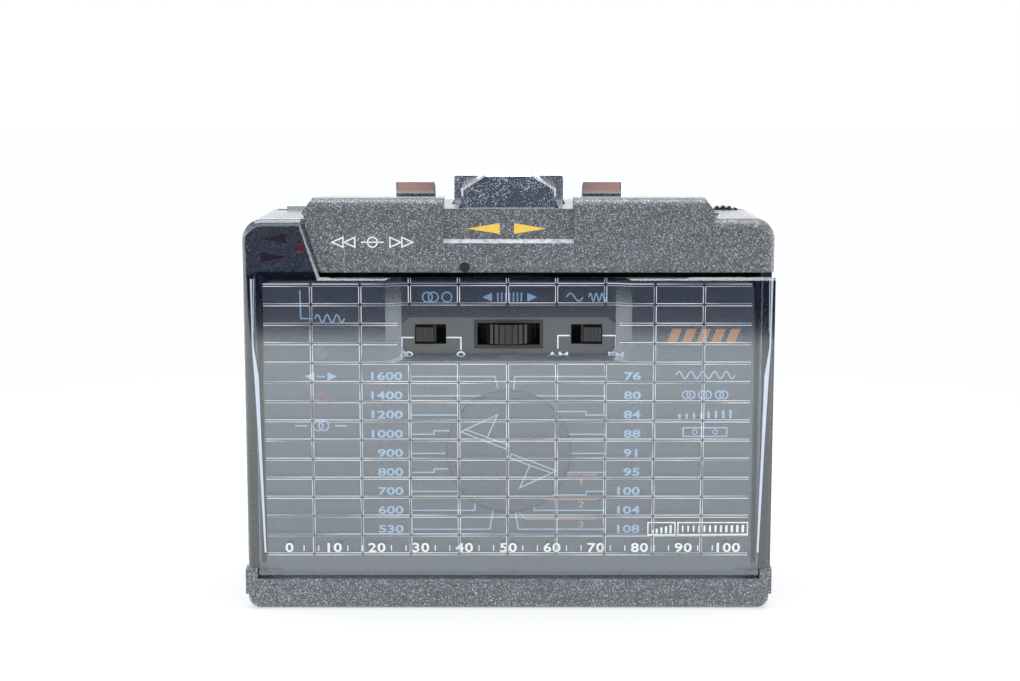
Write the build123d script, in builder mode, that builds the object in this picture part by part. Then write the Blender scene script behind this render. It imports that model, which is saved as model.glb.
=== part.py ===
from build123d import *
import os

os.makedirs("parts", exist_ok=True)

# Millimetres. +X is the viewer's right, the front faces -Y, +Z is up.
# The origin is the middle of the flat foot that the player stands on.

# Shell
body_width = 108.4
body_depth = 33.0
shoulder_height = 81.1
plateau_height = 83.2
plateau_width = 80.0
wall = 1.8
top_corner_radius = 4.2
foot_corner_radius = 2.6
edge_round = 2.2
seam_behind_deck = 5.0

# Top bar and its raised ridge
bar_bottom = 70.3
bar_set_back = 0.7
ridge_height = 85.3
ridge_depth = 7.0
ridge_top_width = 79.6
ridge_knee_width = 83.6
ridge_knee_height = 82.4
ridge_base_width = 72.4
ridge_base_height = 72.1
ridge_round = 2.0
notch_width = 26.4
arrow_ledge_height = 76.3
arrow_recess = 1.0
pinhole_x = -8.9
pinhole_z = 71.4
pinhole_radius = 0.8
pinhole_depth = 1.5

# Front lip under the door
lip_height = 6.4
lip_wall = 2.0
lip_round = 1.2
floor_height = 3.9

# Door
door_thickness = 2.0
door_top = 69.3
door_wall = 2.4
door_wall_depth = 5.5
door_gap = 0.3
door_side_round = 1.6
door_top_bevel = 0.6
door_extension_height = 81.1
door_slant_top_inset = 12.0
door_slant_foot_inset = 15.8
window_width = 43.8
window_low = 53.2
window_high = 61.0
window_corner = 1.6
bevel_side = 3.2
bevel_below = 1.0
bevel_depth = 1.3
hinge_pin_radius = 0.45
running_clearance = 0.05
hinge_ear_width = 2.4
hinge_ear_proud = 0.4

# Tuner pack, the size of a compact cassette
pack_side_room = 4.0
pack_height = 63.2
pack_top = 68.4
pack_thickness = 9.3
pack_corner_radius = 2.0
pack_wall = 1.2
pack_nose_thickness = 2.2
pack_nose_height = 16.0
pack_nose_width = 66.0
pack_nose_slope = 3.0
pack_door_gap = 0.5
pack_split = 5.0

# Holder that keeps the pack on the door
holder_wall = 0.9
holder_gap = 0.15
holder_lip = 5.5
holder_top_gap = 4.0

# Deck and tape drive
deck_thickness = 1.0
deck_gap = 0.5
deck_edge_gap = 0.3
hub_spacing = 42.5
hub_depth_below_top = 34.0
spindle_radius = 2.5
spindle_reach = 7.0
spindle_fin = 0.8
spindle_flange_radius = 4.6
hub_recess_radius = 5.4
hub_recess_depth = 7.2
reel_gear_radius = 6.0
reel_gear_thickness = 1.6
capstan_inset = 19.2
capstan_z = 63.5
capstan_radius = 1.0
capstan_reach = 9.0
capstan_hole_radius = 3.4
flywheel_radius = 12.3
flywheel_thickness = 3.0
flywheel_rim = 2.5
flywheel_hub_radius = 4.3
bracket_rise = 5.0
bracket_post_x = 10.0
belt_thickness = 0.8
belt_width = 1.2
belt_gap = 0.3
motor_inset = 16.2
motor_z = 33.0
motor_radius = 10.5
motor_edge = 0.8
pulley_radius = 3.0
carriage_travel = 6.0
carriage_half_width = 36.0
pinch_radius = 2.8
pinch_gap = 0.3
pinch_length = 6.0
head_width = 12.0
head_depth = 7.0

# Keys
key_travel = 2.2
slot_clearance = 0.5
direction_key_height = 90.1
direction_key_width = 19.3
direction_key_chamfer_x = 4.9
direction_key_chamfer_z = 3.0
direction_key_rear_width = 22.8
direction_key_rear_height = 89.2
direction_key_front_y = -13.5
direction_key_step_y = -1.0
direction_key_rear_y = 12.0
small_key_width = 8.6
small_key_x = 19.4
small_key_height = 88.4
small_key_front_y = -4.0
small_key_rear_y = 2.6
key_flange = 0.9
key_flange_thickness = 0.7
key_round = 0.5
key_bevel = 0.45

# Back and sides
volume_radius = 8.0
volume_thickness = 2.6
volume_proud_top = 0.9
volume_proud_side = 0.4
volume_rear_gap = 0.5
volume_teeth = 36
tooth_depth = 0.35
pot_radius = 5.0
pot_thickness = 2.4
pot_shaft_radius = 1.5
tape_switch_inset = 8.3
tape_switch_width = 4.3
tape_switch_depth = 2.4
tape_switch_proud = 0.9
tape_switch_travel = 2.0
tape_switch_rear = 4.5
jack_rear = 8.5
jack_z = 69.5
jack_radius = 3.4
jack_bore_radius = 1.8
jack_bore_length = 12.0
jack_length = 14.0
screw_inset = 5.6
screw_low_z = 22.5
screw_high_z = 60.0
screw_radius = 1.0
screw_head_radius = 1.9
screw_head_height = 1.0
pillar_radius = 2.6
cell_end_room = 2.2
cell_front_gap = 1.1
cell_nub = 0.8
cell_gap = 0.4
cover_end = 5.4
cover_height = 13.6
cell_floor_gap = 0.9
cover_thickness = 1.1
cover_dovetail = 0.5
cover_clearance = 0.15
cover_grip_inset = 12.0
cover_grip_pitch = 1.4
cover_grips = 6
cover_grip_height = 6.0
shelf_gap = 0.3
battery_shelf = 1.2
board_thickness = 1.0
board_gap = 0.4

# Pack controls
wheel_radius = 5.6
wheel_height = 4.0
wheel_z = 57.4
wheel_proud = 1.2
wheel_ribs = 28
wheel_window_width = 12.2
slot_offset = 16.0
slot_width = 6.4
slot_height = 4.1
knob_width = 3.5
knob_height = 2.9
knob_proud = 0.6
groove_width = 0.3
groove_depth = 0.25
knob_groove_pitch = 0.7
knob_grooves = 4
roller_radius = 3.0
roller_thickness = 2.0
shaft_radius = 0.8
fork_half_width = 2.2
dial_radius = 12.6
dial_z = 33.0
dial_thickness = 1.2
dial_clearance = 0.3
dial_pin_radius = 1.2
dial_pin_length = 3.0
capacitor_size = 16.0
led_x = -38.6
tune_led_z = 53.6
stereo_led_z = 43.9
led_radius = 1.4

# Direction lights
lamp_tip_inset = 3.8
lamp_base_inset = 9.0
lamp_upper_z = 77.1
lamp_lower_z = 73.3
lamp_height = 2.1
lamp_depth = 0.8
power_led_inset = 11.9
power_led_z = 75.1
power_led_radius = 1.1

# Places that follow from the sizes above
half_width = body_width / 2
door_slant_top_x = door_slant_top_inset - half_width
door_slant_foot_x = door_slant_foot_inset - half_width
lamp_tip_x = lamp_tip_inset - half_width
lamp_base_x = lamp_base_inset - half_width
power_led_x = power_led_inset - half_width
tape_switch_x = tape_switch_inset - half_width
screw_x = half_width - screw_inset
motor_x = half_width - motor_inset
pack_width = body_width - 2 * pack_side_room
cover_width = body_width - cover_end
cell_length = half_width - wall - cell_end_room
front_y = -body_depth / 2
rear_y = body_depth / 2
bar_y = front_y + bar_set_back
hinge_y = front_y + door_thickness / 2
door_bottom = lip_height + door_gap
hinge_z = door_bottom + door_thickness / 2
door_back_y = front_y + door_wall_depth
panel_y = front_y + door_thickness + door_gap
pack_front_y = front_y + door_thickness + pack_door_gap
pack_split_y = pack_front_y + pack_split
pack_rear_y = pack_front_y + pack_thickness
pack_nose_y = pack_rear_y + pack_nose_thickness
pack_bottom = pack_top - pack_height
deck_y = pack_nose_y + deck_gap
deck_rear_y = deck_y + deck_thickness
seam_y = deck_rear_y + seam_behind_deck
hub_x = hub_spacing / 2
hub_z = pack_top - hub_depth_below_top
capstan_x = pack_width / 2 - capstan_inset
flywheel_y = deck_rear_y + 1.3
belt_y = flywheel_y + 0.9
bracket_y = flywheel_y + flywheel_thickness + 1.6
pinch_z = capstan_z + capstan_radius + pinch_gap + pinch_radius + carriage_travel
volume_x = half_width + volume_proud_side - volume_radius
volume_z = shoulder_height + volume_proud_top - volume_radius
volume_y = rear_y - wall - volume_rear_gap
tape_switch_y = rear_y - tape_switch_rear
jack_y = rear_y - jack_rear
board_y = volume_y - volume_thickness - board_gap - board_thickness
motor_length = board_y - seam_y - 2 * door_gap
cell_radius = (rear_y - wall - cell_gap - deck_rear_y - cell_front_gap) / 2
cell_y = rear_y - wall - cell_gap - cell_radius
cell_z = wall + cell_floor_gap + cell_radius
cover_low = cell_z - cover_height / 2
battery_shelf_z = cell_z + cell_radius + shelf_gap
wheel_y = pack_front_y - wheel_proud + wheel_radius
dial_rear_y = wheel_y - roller_radius - running_clearance
dial_front_y = dial_rear_y - dial_thickness
key_slot_low = plateau_height - wall - key_flange
key_foot = plateau_height - wall - key_flange_thickness
roller_z = dial_z + dial_radius - roller_thickness / 2 - 1.5


def at_y(y):
    """Front-view plane at y: its own x is +X and its own y is +Z."""
    return Plane.XZ.offset(-y)


def at_x(x):
    """Side-view plane at x: its own x is +Y and its own y is +Z."""
    return Plane.YZ.offset(x)


def at_z(z):
    """Plan-view plane at z."""
    return Plane.XY.offset(z)


def window(left, right, low, high):
    """A rectangle between four lines of the sketch in hand."""
    with Locations(((left + right) / 2, (low + high) / 2)):
        Rectangle(right - left, high - low)


def shell_outline(inset):
    """Front view of the shell, rounded at its corners, drawn in by a wall."""
    half = half_width - inset
    window(-half, half, inset, shoulder_height - inset)
    fillet(vertices().group_by(Axis.Y)[-1], top_corner_radius - inset / 2)
    fillet(vertices().group_by(Axis.Y)[0], foot_corner_radius - inset / 2)


def plateau_outline(inset):
    """The raised middle of the top, which slopes down to the shoulders."""
    high = plateau_height - inset
    low = shoulder_height - top_corner_radius
    half = plateau_width / 2 - inset
    slope = (ridge_knee_width - ridge_top_width) / 2
    Polygon((-half - slope, low), (-half, high), (half, high), (half + slope, low), align=None)


def ridge_outline():
    """The hexagon of the raised ridge, narrow at its foot."""
    top = ridge_top_width / 2
    knee = ridge_knee_width / 2
    base = ridge_base_width / 2
    Polygon(
        (-base, ridge_base_height),
        (-knee, ridge_knee_height),
        (-top, ridge_height),
        (top, ridge_height),
        (knee, ridge_knee_height),
        (base, ridge_base_height),
        align=None,
    )


def slant_x(z, offset):
    """X of the slanted joint between the door's extension and the bar."""
    run = door_slant_foot_x - door_slant_top_x
    rise = door_extension_height - door_top
    return door_slant_foot_x + offset - run * (z - door_top) / rise


def left_panel_outline(low, high, offset):
    """The corner above the door's left end, up to the slanted joint."""
    edge = -half_width - wall
    low_point = (slant_x(low, offset), low)
    high_point = (slant_x(high, offset), high)
    Polygon((edge, low), low_point, high_point, (edge, high), align=None)


def lamp_outline(direction, z, grow):
    """A direction triangle: -1 points left and 1 points right."""
    middle = (lamp_tip_x + lamp_base_x) / 2
    half = (lamp_base_x - lamp_tip_x) / 2 + grow
    rise = lamp_height / 2 + grow
    tip = middle + direction * half
    base = middle - direction * half
    Polygon((tip, z), (base, z + rise), (base, z - rise), align=None)


def direction_key_front(grow, low):
    """Front block of the direction key, with its cut-off upper corners."""
    half = direction_key_width / 2 + grow
    high = direction_key_height + grow
    Polygon(
        (-half, low),
        (-half, high - direction_key_chamfer_z),
        (-half + direction_key_chamfer_x, high),
        (half - direction_key_chamfer_x, high),
        (half, high - direction_key_chamfer_z),
        (half, low),
        align=None,
    )


def direction_key_plan(grow, front, rear):
    """Plan of the direction key: a narrow front block and a wide rear block."""
    half = direction_key_width / 2 + grow
    window(-half, half, front, direction_key_step_y)
    half = direction_key_rear_width / 2 + grow
    window(-half, half, direction_key_step_y - grow, rear)


def small_key_plan(side, grow):
    """Plan of the small key on one side."""
    left = side * small_key_x - small_key_width / 2 - grow
    right = side * small_key_x + small_key_width / 2 + grow
    window(left, right, small_key_front_y - grow, small_key_rear_y + grow)


def key_slots():
    """Plan of the slots that the three keys sink into."""
    front = direction_key_front_y - slot_clearance / 2
    direction_key_plan(slot_clearance, front, direction_key_rear_y + slot_clearance)
    for side in (-1, 1):
        small_key_plan(side, slot_clearance)


def battery_cover_outline(grow):
    """Side view of the cover: a plate with dovetailed long edges."""
    inner = rear_y - cover_thickness - grow
    low = cover_low - grow
    high = cover_low + cover_height + grow
    Polygon(
        (inner, low - cover_dovetail),
        (inner, high + cover_dovetail),
        (rear_y, high),
        (rear_y, low),
        align=None,
    )


def screw_pillars():
    """Round pillars for the case screws, each joined to its side wall."""
    for x, z in screw_places:
        with Locations((x, z)):
            Circle(pillar_radius)
        near, far = sorted((x, (half_width - wall / 2) * x / abs(x)))
        window(near, far, z - wall / 2, z + wall / 2)


screw_places = [(x, z) for x in (-screw_x, screw_x) for z in (screw_low_z, screw_high_z)]
hub_places = [(-hub_x, hub_z), (hub_x, hub_z)]
capstan_places = [(-capstan_x, capstan_z), (capstan_x, capstan_z)]

# Front frame: the speckled moulding with the top bar, the lip and the well for the pack
with BuildPart() as front_frame:
    # Upright bar, rounded along its front edges
    with BuildSketch(at_y(seam_y)):
        shell_outline(0)
    extrude(amount=seam_y - bar_y)
    front_rim = faces().sort_by(Axis.Y)[0].edges()
    fillet(front_rim, edge_round)
    # Everything below the bar goes, except the ring behind the door
    with BuildSketch(at_y(door_back_y)):
        window(-body_width, body_width, -wall, bar_bottom)
    extrude(amount=body_depth, mode=Mode.SUBTRACT)
    # Front lip
    with BuildSketch(at_y(door_back_y)):
        shell_outline(0)
        with BuildSketch(mode=Mode.INTERSECT):
            window(-half_width, half_width, 0, lip_height)
    extrude(amount=door_wall_depth)
    lip_front = faces().sort_by(Axis.Y)[0]
    fillet(lip_front.edges().sort_by(Axis.Z)[:-1], lip_round)
    # Ridge and the plateau behind it
    with BuildSketch(at_y(front_y + ridge_depth)):
        ridge_outline()
    extrude(amount=ridge_depth)
    ridge_front = faces().filter_by(Axis.Y).group_by(Axis.Y)[0].sort_by(Axis.Z)[-1]
    fillet(ridge_front.edges().sort_by(Axis.Z)[-1], ridge_round)
    with BuildSketch(at_y(seam_y)):
        plateau_outline(0)
    extrude(amount=seam_y - front_y - ridge_depth / 2)
    # Corner for the door's extension
    with BuildSketch(at_y(panel_y)):
        left_panel_outline(bar_bottom - wall, shoulder_height + wall, 2 * door_gap)
    extrude(amount=body_depth, mode=Mode.SUBTRACT)
    # Hinge ears at both ends of the lip
    for side in (-1, 1):
        inner = side * (half_width - hinge_ear_width + door_gap)
        with BuildSketch(at_x(inner)):
            window(hinge_y, door_back_y, lip_height / 2, hinge_z + door_thickness / 2)
            with Locations((hinge_y, hinge_z)):
                Circle(door_thickness / 2)
            window(front_y, hinge_y, lip_height / 2, hinge_z)
        extrude(amount=side * (hinge_ear_width - door_gap + hinge_ear_proud))
        with BuildSketch(at_x(inner)):
            with Locations((hinge_y, hinge_z)):
                Circle(hinge_pin_radius)
        extrude(amount=side * (hinge_ear_width - 2 * door_gap), mode=Mode.SUBTRACT)
    # Well for the pack, open at the front
    with BuildSketch(at_y(deck_y)):
        window(-half_width + door_wall, half_width - door_wall, floor_height, bar_bottom)
    extrude(amount=deck_y - front_y - lip_wall, mode=Mode.SUBTRACT)
    # Seat of the deck plate and the space behind it
    with BuildSketch(at_y(seam_y)):
        shell_outline(wall)
        plateau_outline(wall)
    extrude(amount=seam_y - deck_y, mode=Mode.SUBTRACT)
    # Bay for the head carriage
    with BuildSketch(at_y(deck_y)):
        window(
            -carriage_half_width - wall,
            carriage_half_width + wall,
            bar_bottom - wall,
            plateau_height - wall,
        )
    extrude(amount=deck_y - bar_y - lip_wall, mode=Mode.SUBTRACT)
    # Notch between the two halves of the ridge, with the arrow face set back
    with BuildSketch(at_y(seam_y)):
        window(-notch_width / 2, notch_width / 2, plateau_height, ridge_height + wall)
    extrude(amount=body_depth, mode=Mode.SUBTRACT)
    with BuildSketch(at_y(front_y + arrow_recess)):
        window(-notch_width / 2, notch_width / 2, arrow_ledge_height, ridge_height + wall)
    extrude(amount=body_depth, mode=Mode.SUBTRACT)
    # Slots for the three keys
    with BuildSketch(at_z(key_slot_low)):
        key_slots()
    extrude(amount=body_depth, mode=Mode.SUBTRACT)
    # Pockets of the direction lights and of the power light, and the pinhole
    with BuildSketch(at_y(panel_y + lamp_depth)):
        lamp_outline(-1, lamp_upper_z, 0)
        lamp_outline(1, lamp_lower_z, 0)
        with Locations((power_led_x, power_led_z)):
            Circle(power_led_radius)
    extrude(amount=lamp_depth, mode=Mode.SUBTRACT)
    with BuildSketch(at_y(bar_y + pinhole_depth)):
        with Locations((pinhole_x, pinhole_z)):
            Circle(pinhole_radius)
    extrude(amount=pinhole_depth, mode=Mode.SUBTRACT)
    # Screw bosses that press the deck plate against its seat
    with BuildSketch(at_y(seam_y)):
        screw_pillars()
    extrude(amount=seam_y - deck_rear_y)
    with BuildSketch(at_y(seam_y)):
        with Locations(*screw_places):
            Circle(screw_radius)
    extrude(amount=seam_y - deck_rear_y, mode=Mode.SUBTRACT)
front_frame.part.label = "front_frame"
export_step(front_frame.part, "parts/front_frame.step")

# Rear case: the deep shell that holds the works and the cells
with BuildPart() as rear_case:
    with BuildSketch(at_y(rear_y)):
        shell_outline(0)
        plateau_outline(0)
    extrude(amount=rear_y - seam_y)
    rear_face = faces().sort_by(Axis.Y)[-1]
    fillet(rear_face.edges(), edge_round)
    with BuildSketch(at_y(rear_y - wall)):
        shell_outline(wall)
        plateau_outline(wall)
    extrude(amount=rear_y - wall - seam_y, mode=Mode.SUBTRACT)
    # Pillars for the case screws, and the shelf over the cells
    shelf_top = battery_shelf_z + battery_shelf
    with BuildSketch(at_y(rear_y - wall)):
        screw_pillars()
        window(wall - half_width, half_width - wall, battery_shelf_z, shelf_top)
    extrude(amount=rear_y - wall - seam_y)
    with BuildSketch(at_y(rear_y)):
        with Locations(*screw_places):
            Circle(screw_radius)
    extrude(amount=rear_y - seam_y, mode=Mode.SUBTRACT)
    with BuildSketch(at_y(rear_y)):
        with Locations(*screw_places):
            Circle(screw_head_radius + cover_clearance)
    extrude(amount=screw_head_height + cover_clearance, mode=Mode.SUBTRACT)
    # Dovetailed bed of the battery cover, open at the left end, and the cell opening
    with BuildSketch(at_x(cover_width - half_width + cover_clearance)):
        battery_cover_outline(cover_clearance)
    extrude(amount=-cover_width - wall, mode=Mode.SUBTRACT)
    with BuildSketch(at_y(rear_y)):
        window(
            wall - half_width,
            cover_width - half_width - wall,
            cover_low + wall / 2,
            cover_low + cover_height - wall / 2,
        )
    extrude(amount=2 * wall, mode=Mode.SUBTRACT)
    # Corner slot of the volume wheel
    with BuildSketch(at_y(volume_y + cover_clearance)):
        with Locations((volume_x, volume_z)):
            Circle(volume_radius + slot_clearance)
        window(volume_x, half_width + wall, volume_z, shoulder_height + wall)
    extrude(amount=volume_thickness + 2 * cover_clearance, mode=Mode.SUBTRACT)
    # Slot of the direction key
    with BuildSketch(at_z(key_slot_low)):
        key_slots()
    extrude(amount=body_depth, mode=Mode.SUBTRACT)
    # Slot of the tape switch on the top
    with BuildSketch(at_z(shoulder_height - 2 * wall)):
        window(
            tape_switch_x - tape_switch_width / 2 - tape_switch_travel - cover_clearance,
            tape_switch_x + tape_switch_width / 2 + cover_clearance,
            tape_switch_y - tape_switch_depth / 2 - cover_clearance,
            tape_switch_y + tape_switch_depth / 2 + cover_clearance,
        )
    extrude(amount=4 * wall, mode=Mode.SUBTRACT)
    # Hole for the headphone socket
    with BuildSketch(at_x(-half_width)):
        with Locations((jack_y, jack_z)):
            Circle(jack_radius)
    extrude(amount=2 * wall, mode=Mode.SUBTRACT)
rear_case.part.label = "rear_case"
export_step(rear_case.part, "parts/rear_case.step")

# Deck plate: pressed steel behind the pack, pierced for the spindles and the capstans
with BuildPart() as deck_plate:
    with BuildSketch(at_y(deck_rear_y)):
        shell_outline(wall + deck_edge_gap)
        with BuildSketch(mode=Mode.INTERSECT):
            window(-half_width, half_width, 0, key_foot - key_travel - slot_clearance)
        with Locations(*hub_places):
            Circle(spindle_radius / 2 + running_clearance, mode=Mode.SUBTRACT)
        with Locations(*capstan_places):
            Circle(2 * capstan_radius, mode=Mode.SUBTRACT)
        with Locations(*screw_places):
            Circle(screw_radius, mode=Mode.SUBTRACT)
    extrude(amount=deck_thickness)
deck_plate.part.label = "deck_plate"
export_step(deck_plate.part, "parts/deck_plate.step")

# Triangular windows that show the tape's direction
with BuildPart() as direction_lenses:
    with BuildSketch(at_y(panel_y + lamp_depth)):
        lamp_outline(-1, lamp_upper_z, 0)
        lamp_outline(1, lamp_lower_z, 0)
    extrude(amount=lamp_depth)
direction_lenses.part.label = "direction_lenses"
export_step(direction_lenses.part, "parts/direction_lenses.step")

# Power light: a small lamp just proud of its panel
with BuildPart() as power_led:
    with BuildSketch(at_y(panel_y + lamp_depth)):
        with Locations((power_led_x, power_led_z)):
            Circle(power_led_radius)
    extrude(amount=lamp_depth + door_gap / 3)
power_led.part.label = "power_led"
export_step(power_led.part, "parts/power_led.step")

# Hinge pins of the door, one in each ear of the lip
pin_outer = half_width - door_gap
with BuildPart() as hinge_pins:
    for side in (-1, 1):
        with BuildSketch(at_x(side * pin_outer)):
            with Locations((hinge_y, hinge_z)):
                Circle(hinge_pin_radius)
        extrude(amount=-side * 2 * hinge_ear_width)
hinge_pins.part.label = "hinge_pins"
export_step(hinge_pins.part, "parts/hinge_pins.step")

# Door: a clear moulded tray with a window for the pack's controls
with BuildPart() as door_lens:
    with BuildSketch(at_y(door_back_y)):
        window(-half_width, half_width, door_bottom, door_top)
        left_panel_outline(door_top, door_extension_height, 0)
        with BuildSketch(mode=Mode.INTERSECT):
            shell_outline(0)
    extrude(amount=door_wall_depth)
    # Polished edges: rounded at the sides and bevelled along the bar
    front_edges = faces().sort_by(Axis.Y)[0].edges()
    upright_edges = front_edges.filter_by(Axis.Z)
    corner_edges = front_edges.filter_by(GeomType.CIRCLE) + front_edges.sort_by(Axis.Z)[-1:]
    bar_edges = front_edges - upright_edges - corner_edges - front_edges.sort_by(Axis.Z)[:1]
    chamfer(bar_edges, door_top_bevel)
    side_edges = edges().filter_by(lambda edge: edge in upright_edges + corner_edges)
    fillet(side_edges, door_side_round)
    # Hollow of the tray: only the side walls run back, up to the bar
    with BuildSketch(at_y(door_back_y)):
        window(-half_width + door_wall, half_width - door_wall, 0, 2 * body_width)
        window(-body_width, body_width, door_top, 2 * body_width)
    extrude(amount=door_wall_depth - door_thickness, mode=Mode.SUBTRACT)
    # Cut-outs for the hinge ears
    for side in (-1, 1):
        with BuildSketch(at_x(side * (half_width - hinge_ear_width))):
            window(front_y - wall, rear_y, 0, hinge_z + door_thickness / 2 + door_gap)
        extrude(amount=side * 2 * hinge_ear_width, mode=Mode.SUBTRACT)
    # Foot rounded about the hinge, and the holes for the pins
    foot_edges = edges().filter_by(Axis.X).group_by(Axis.Z)[0]
    fillet(foot_edges, door_thickness / 2 - running_clearance / 10)
    for side in (-1, 1):
        with BuildSketch(at_x(side * half_width)):
            with Locations((hinge_y, hinge_z)):
                Circle(hinge_pin_radius + running_clearance)
        extrude(amount=-side * 3 * hinge_ear_width, mode=Mode.SUBTRACT)
    # Recess with bevelled sides, open at the top edge of the door
    recess_top = door_top + door_gap
    with BuildSketch(at_y(front_y + bevel_depth)) as recess_floor:
        window(-window_width / 2, window_width / 2, window_low, recess_top)
    recess_half = window_width / 2 + bevel_side
    with BuildSketch(at_y(front_y)) as recess_mouth:
        window(-recess_half, recess_half, window_low - bevel_below, recess_top)
    loft(sections=[recess_floor.sketch, recess_mouth.sketch], mode=Mode.SUBTRACT)
    # Window over the controls, under the bridge that is left of the recess floor
    with BuildSketch(at_y(door_back_y)):
        window(-window_width / 2, window_width / 2, window_low, window_high)
        chamfer(vertices(), window_corner)
    extrude(amount=door_wall_depth, mode=Mode.SUBTRACT)
door_lens.part.label = "door_lens"
export_step(door_lens.part, "parts/door_lens.step")

# Holder: two channels and a ledge that keep the pack on the door
holder_inner = pack_width / 2 + holder_gap
holder_outer = holder_inner + holder_wall
holder_floor = pack_bottom - holder_gap
holder_top = pack_top - holder_top_gap
holder_y = pack_rear_y + holder_gap
with BuildPart() as pack_holder:
    with BuildSketch(at_y(holder_y + holder_wall)):
        window(-holder_outer, holder_outer, holder_floor - holder_wall, holder_top)
        with BuildSketch(mode=Mode.SUBTRACT):
            window(-holder_inner, holder_inner, holder_floor, body_width)
    extrude(amount=holder_y + holder_wall - front_y - door_thickness)
    with BuildSketch(at_y(holder_y + holder_wall)):
        window(-holder_outer, holder_outer, holder_floor - holder_wall, holder_top)
        with BuildSketch(mode=Mode.SUBTRACT):
            window(holder_lip - holder_outer, holder_outer - holder_lip, holder_lip, body_width)
    extrude(amount=holder_wall)
    # The channels pass clear of the hinge ears and the foot of the door
    with BuildSketch(at_y(holder_y)):
        window(-body_width, body_width, 0, hinge_z + door_thickness)
    extrude(amount=holder_y - pack_front_y + pack_door_gap, mode=Mode.SUBTRACT)
    with BuildSketch(at_y(holder_y)):
        window(-holder_outer, holder_outer, holder_floor - holder_wall, holder_floor)
    extrude(amount=holder_y - pack_front_y - pack_door_gap)
pack_holder.part.label = "pack_holder"
export_step(pack_holder.part, "parts/pack_holder.step")


def pack_outline(inset):
    """Front view of the pack, a cassette's rounded rectangle."""
    half = pack_width / 2 - inset
    window(-half, half, pack_bottom + inset, pack_top - inset)
    fillet(vertices(), pack_corner_radius - inset / 2)


def pack_nose_outline(inset):
    """The thicker trapezium along the pack's upper edge."""
    half = pack_nose_width / 2 - inset
    high = pack_top - inset
    low = pack_top - pack_nose_height + inset
    slope = pack_nose_slope
    Polygon((-half - slope, high), (half + slope, high), (half, low), (-half, low), align=None)


def wheel_window(grow):
    """Opening over the tuning wheel."""
    half = wheel_window_width / 2 + grow
    rise = wheel_height / 2 + grow
    window(-half, half, wheel_z - rise, wheel_z + rise)


def switch_slots():
    """Openings for the mode knob and the band knob."""
    for side in (-1, 1):
        middle = side * slot_offset
        low = wheel_z - slot_height / 2
        window(middle - slot_width / 2, middle + slot_width / 2, low, low + slot_height)


head_bay_half = head_width / 2 + 2 * slot_clearance
head_bay_front = pack_front_y + pack_wall
head_bay_rear = pack_nose_y - pack_wall

# Front half of the pack: the face with the dial, the switches and the lights
with BuildPart() as pack_front_case:
    with BuildSketch(at_y(pack_split_y)):
        pack_outline(0)
    extrude(amount=pack_split)
    with BuildSketch(at_y(pack_split_y)):
        pack_outline(pack_wall)
    extrude(amount=pack_split - pack_wall, mode=Mode.SUBTRACT)
    with BuildSketch(at_y(pack_split_y)):
        with Locations((0, dial_z)):
            Circle(dial_radius + dial_clearance)
        wheel_window(dial_clearance)
        switch_slots()
        with Locations((led_x, tune_led_z), (led_x, stereo_led_z)):
            Circle(led_radius)
    extrude(amount=pack_split, mode=Mode.SUBTRACT)
    # Openings in the upper edge for the head and the rollers
    with BuildSketch(at_z(pack_top - 2 * pack_wall)):
        window(-head_bay_half, head_bay_half, head_bay_front, pack_split_y)
        for x, z in capstan_places:
            window(
                x - pinch_radius - 2 * slot_clearance,
                x + pinch_radius + 2 * slot_clearance,
                head_bay_front,
                pack_split_y,
            )
    extrude(amount=4 * pack_wall, mode=Mode.SUBTRACT)
    # Two forks that hold the shaft of the tuning wheel
    for low in (wheel_z + wheel_height / 2 + dial_clearance, dial_z + dial_radius + pack_wall):
        with BuildSketch(at_z(low)):
            window(-fork_half_width, fork_half_width, pack_front_y + pack_wall / 2, pack_split_y)
            with Locations((0, wheel_y)):
                Circle(shaft_radius + running_clearance, mode=Mode.SUBTRACT)
            slot_half = shaft_radius + running_clearance
            with BuildSketch(mode=Mode.SUBTRACT):
                window(-slot_half, slot_half, wheel_y, pack_split_y)
        extrude(amount=pack_wall)
pack_front_case.part.label = "pack_front_case"
export_step(pack_front_case.part, "parts/pack_front_case.step")

# Rear half of the pack, with the thick nose and the holes for the deck's shafts
with BuildPart() as pack_rear_case:
    with BuildSketch(at_y(pack_rear_y)):
        pack_outline(0)
    extrude(amount=pack_thickness - pack_split)
    with BuildSketch(at_y(pack_nose_y)):
        pack_nose_outline(0)
    extrude(amount=pack_nose_y - pack_split_y - pack_wall)
    with BuildSketch(at_y(pack_rear_y - pack_wall)):
        pack_outline(pack_wall)
    extrude(amount=pack_thickness, mode=Mode.SUBTRACT)
    with BuildSketch(at_y(pack_nose_y - pack_wall)):
        pack_nose_outline(pack_wall)
    extrude(amount=pack_thickness, mode=Mode.SUBTRACT)
    # Cups that take the spindles and the capstans
    with BuildSketch(at_y(pack_rear_y)):
        with Locations(*hub_places):
            Circle(hub_recess_radius + pack_wall)
    extrude(amount=pack_rear_y - pack_split_y)
    with BuildSketch(at_y(pack_rear_y)):
        with Locations(*hub_places):
            Circle(hub_recess_radius)
    extrude(amount=hub_recess_depth, mode=Mode.SUBTRACT)
    with BuildSketch(at_y(pack_nose_y)):
        with Locations(*capstan_places):
            Circle(capstan_hole_radius)
    extrude(amount=pack_thickness, mode=Mode.SUBTRACT)
    with BuildSketch(at_z(pack_top - 2 * pack_wall)):
        window(-head_bay_half, head_bay_half, pack_split_y, head_bay_rear)
        for x, z in capstan_places:
            window(
                x - pinch_radius - 2 * slot_clearance,
                x + pinch_radius + 2 * slot_clearance,
                pack_split_y,
                head_bay_rear,
            )
    extrude(amount=4 * pack_wall, mode=Mode.SUBTRACT)
pack_rear_case.part.label = "pack_rear_case"
export_step(pack_rear_case.part, "parts/pack_rear_case.step")

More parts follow.
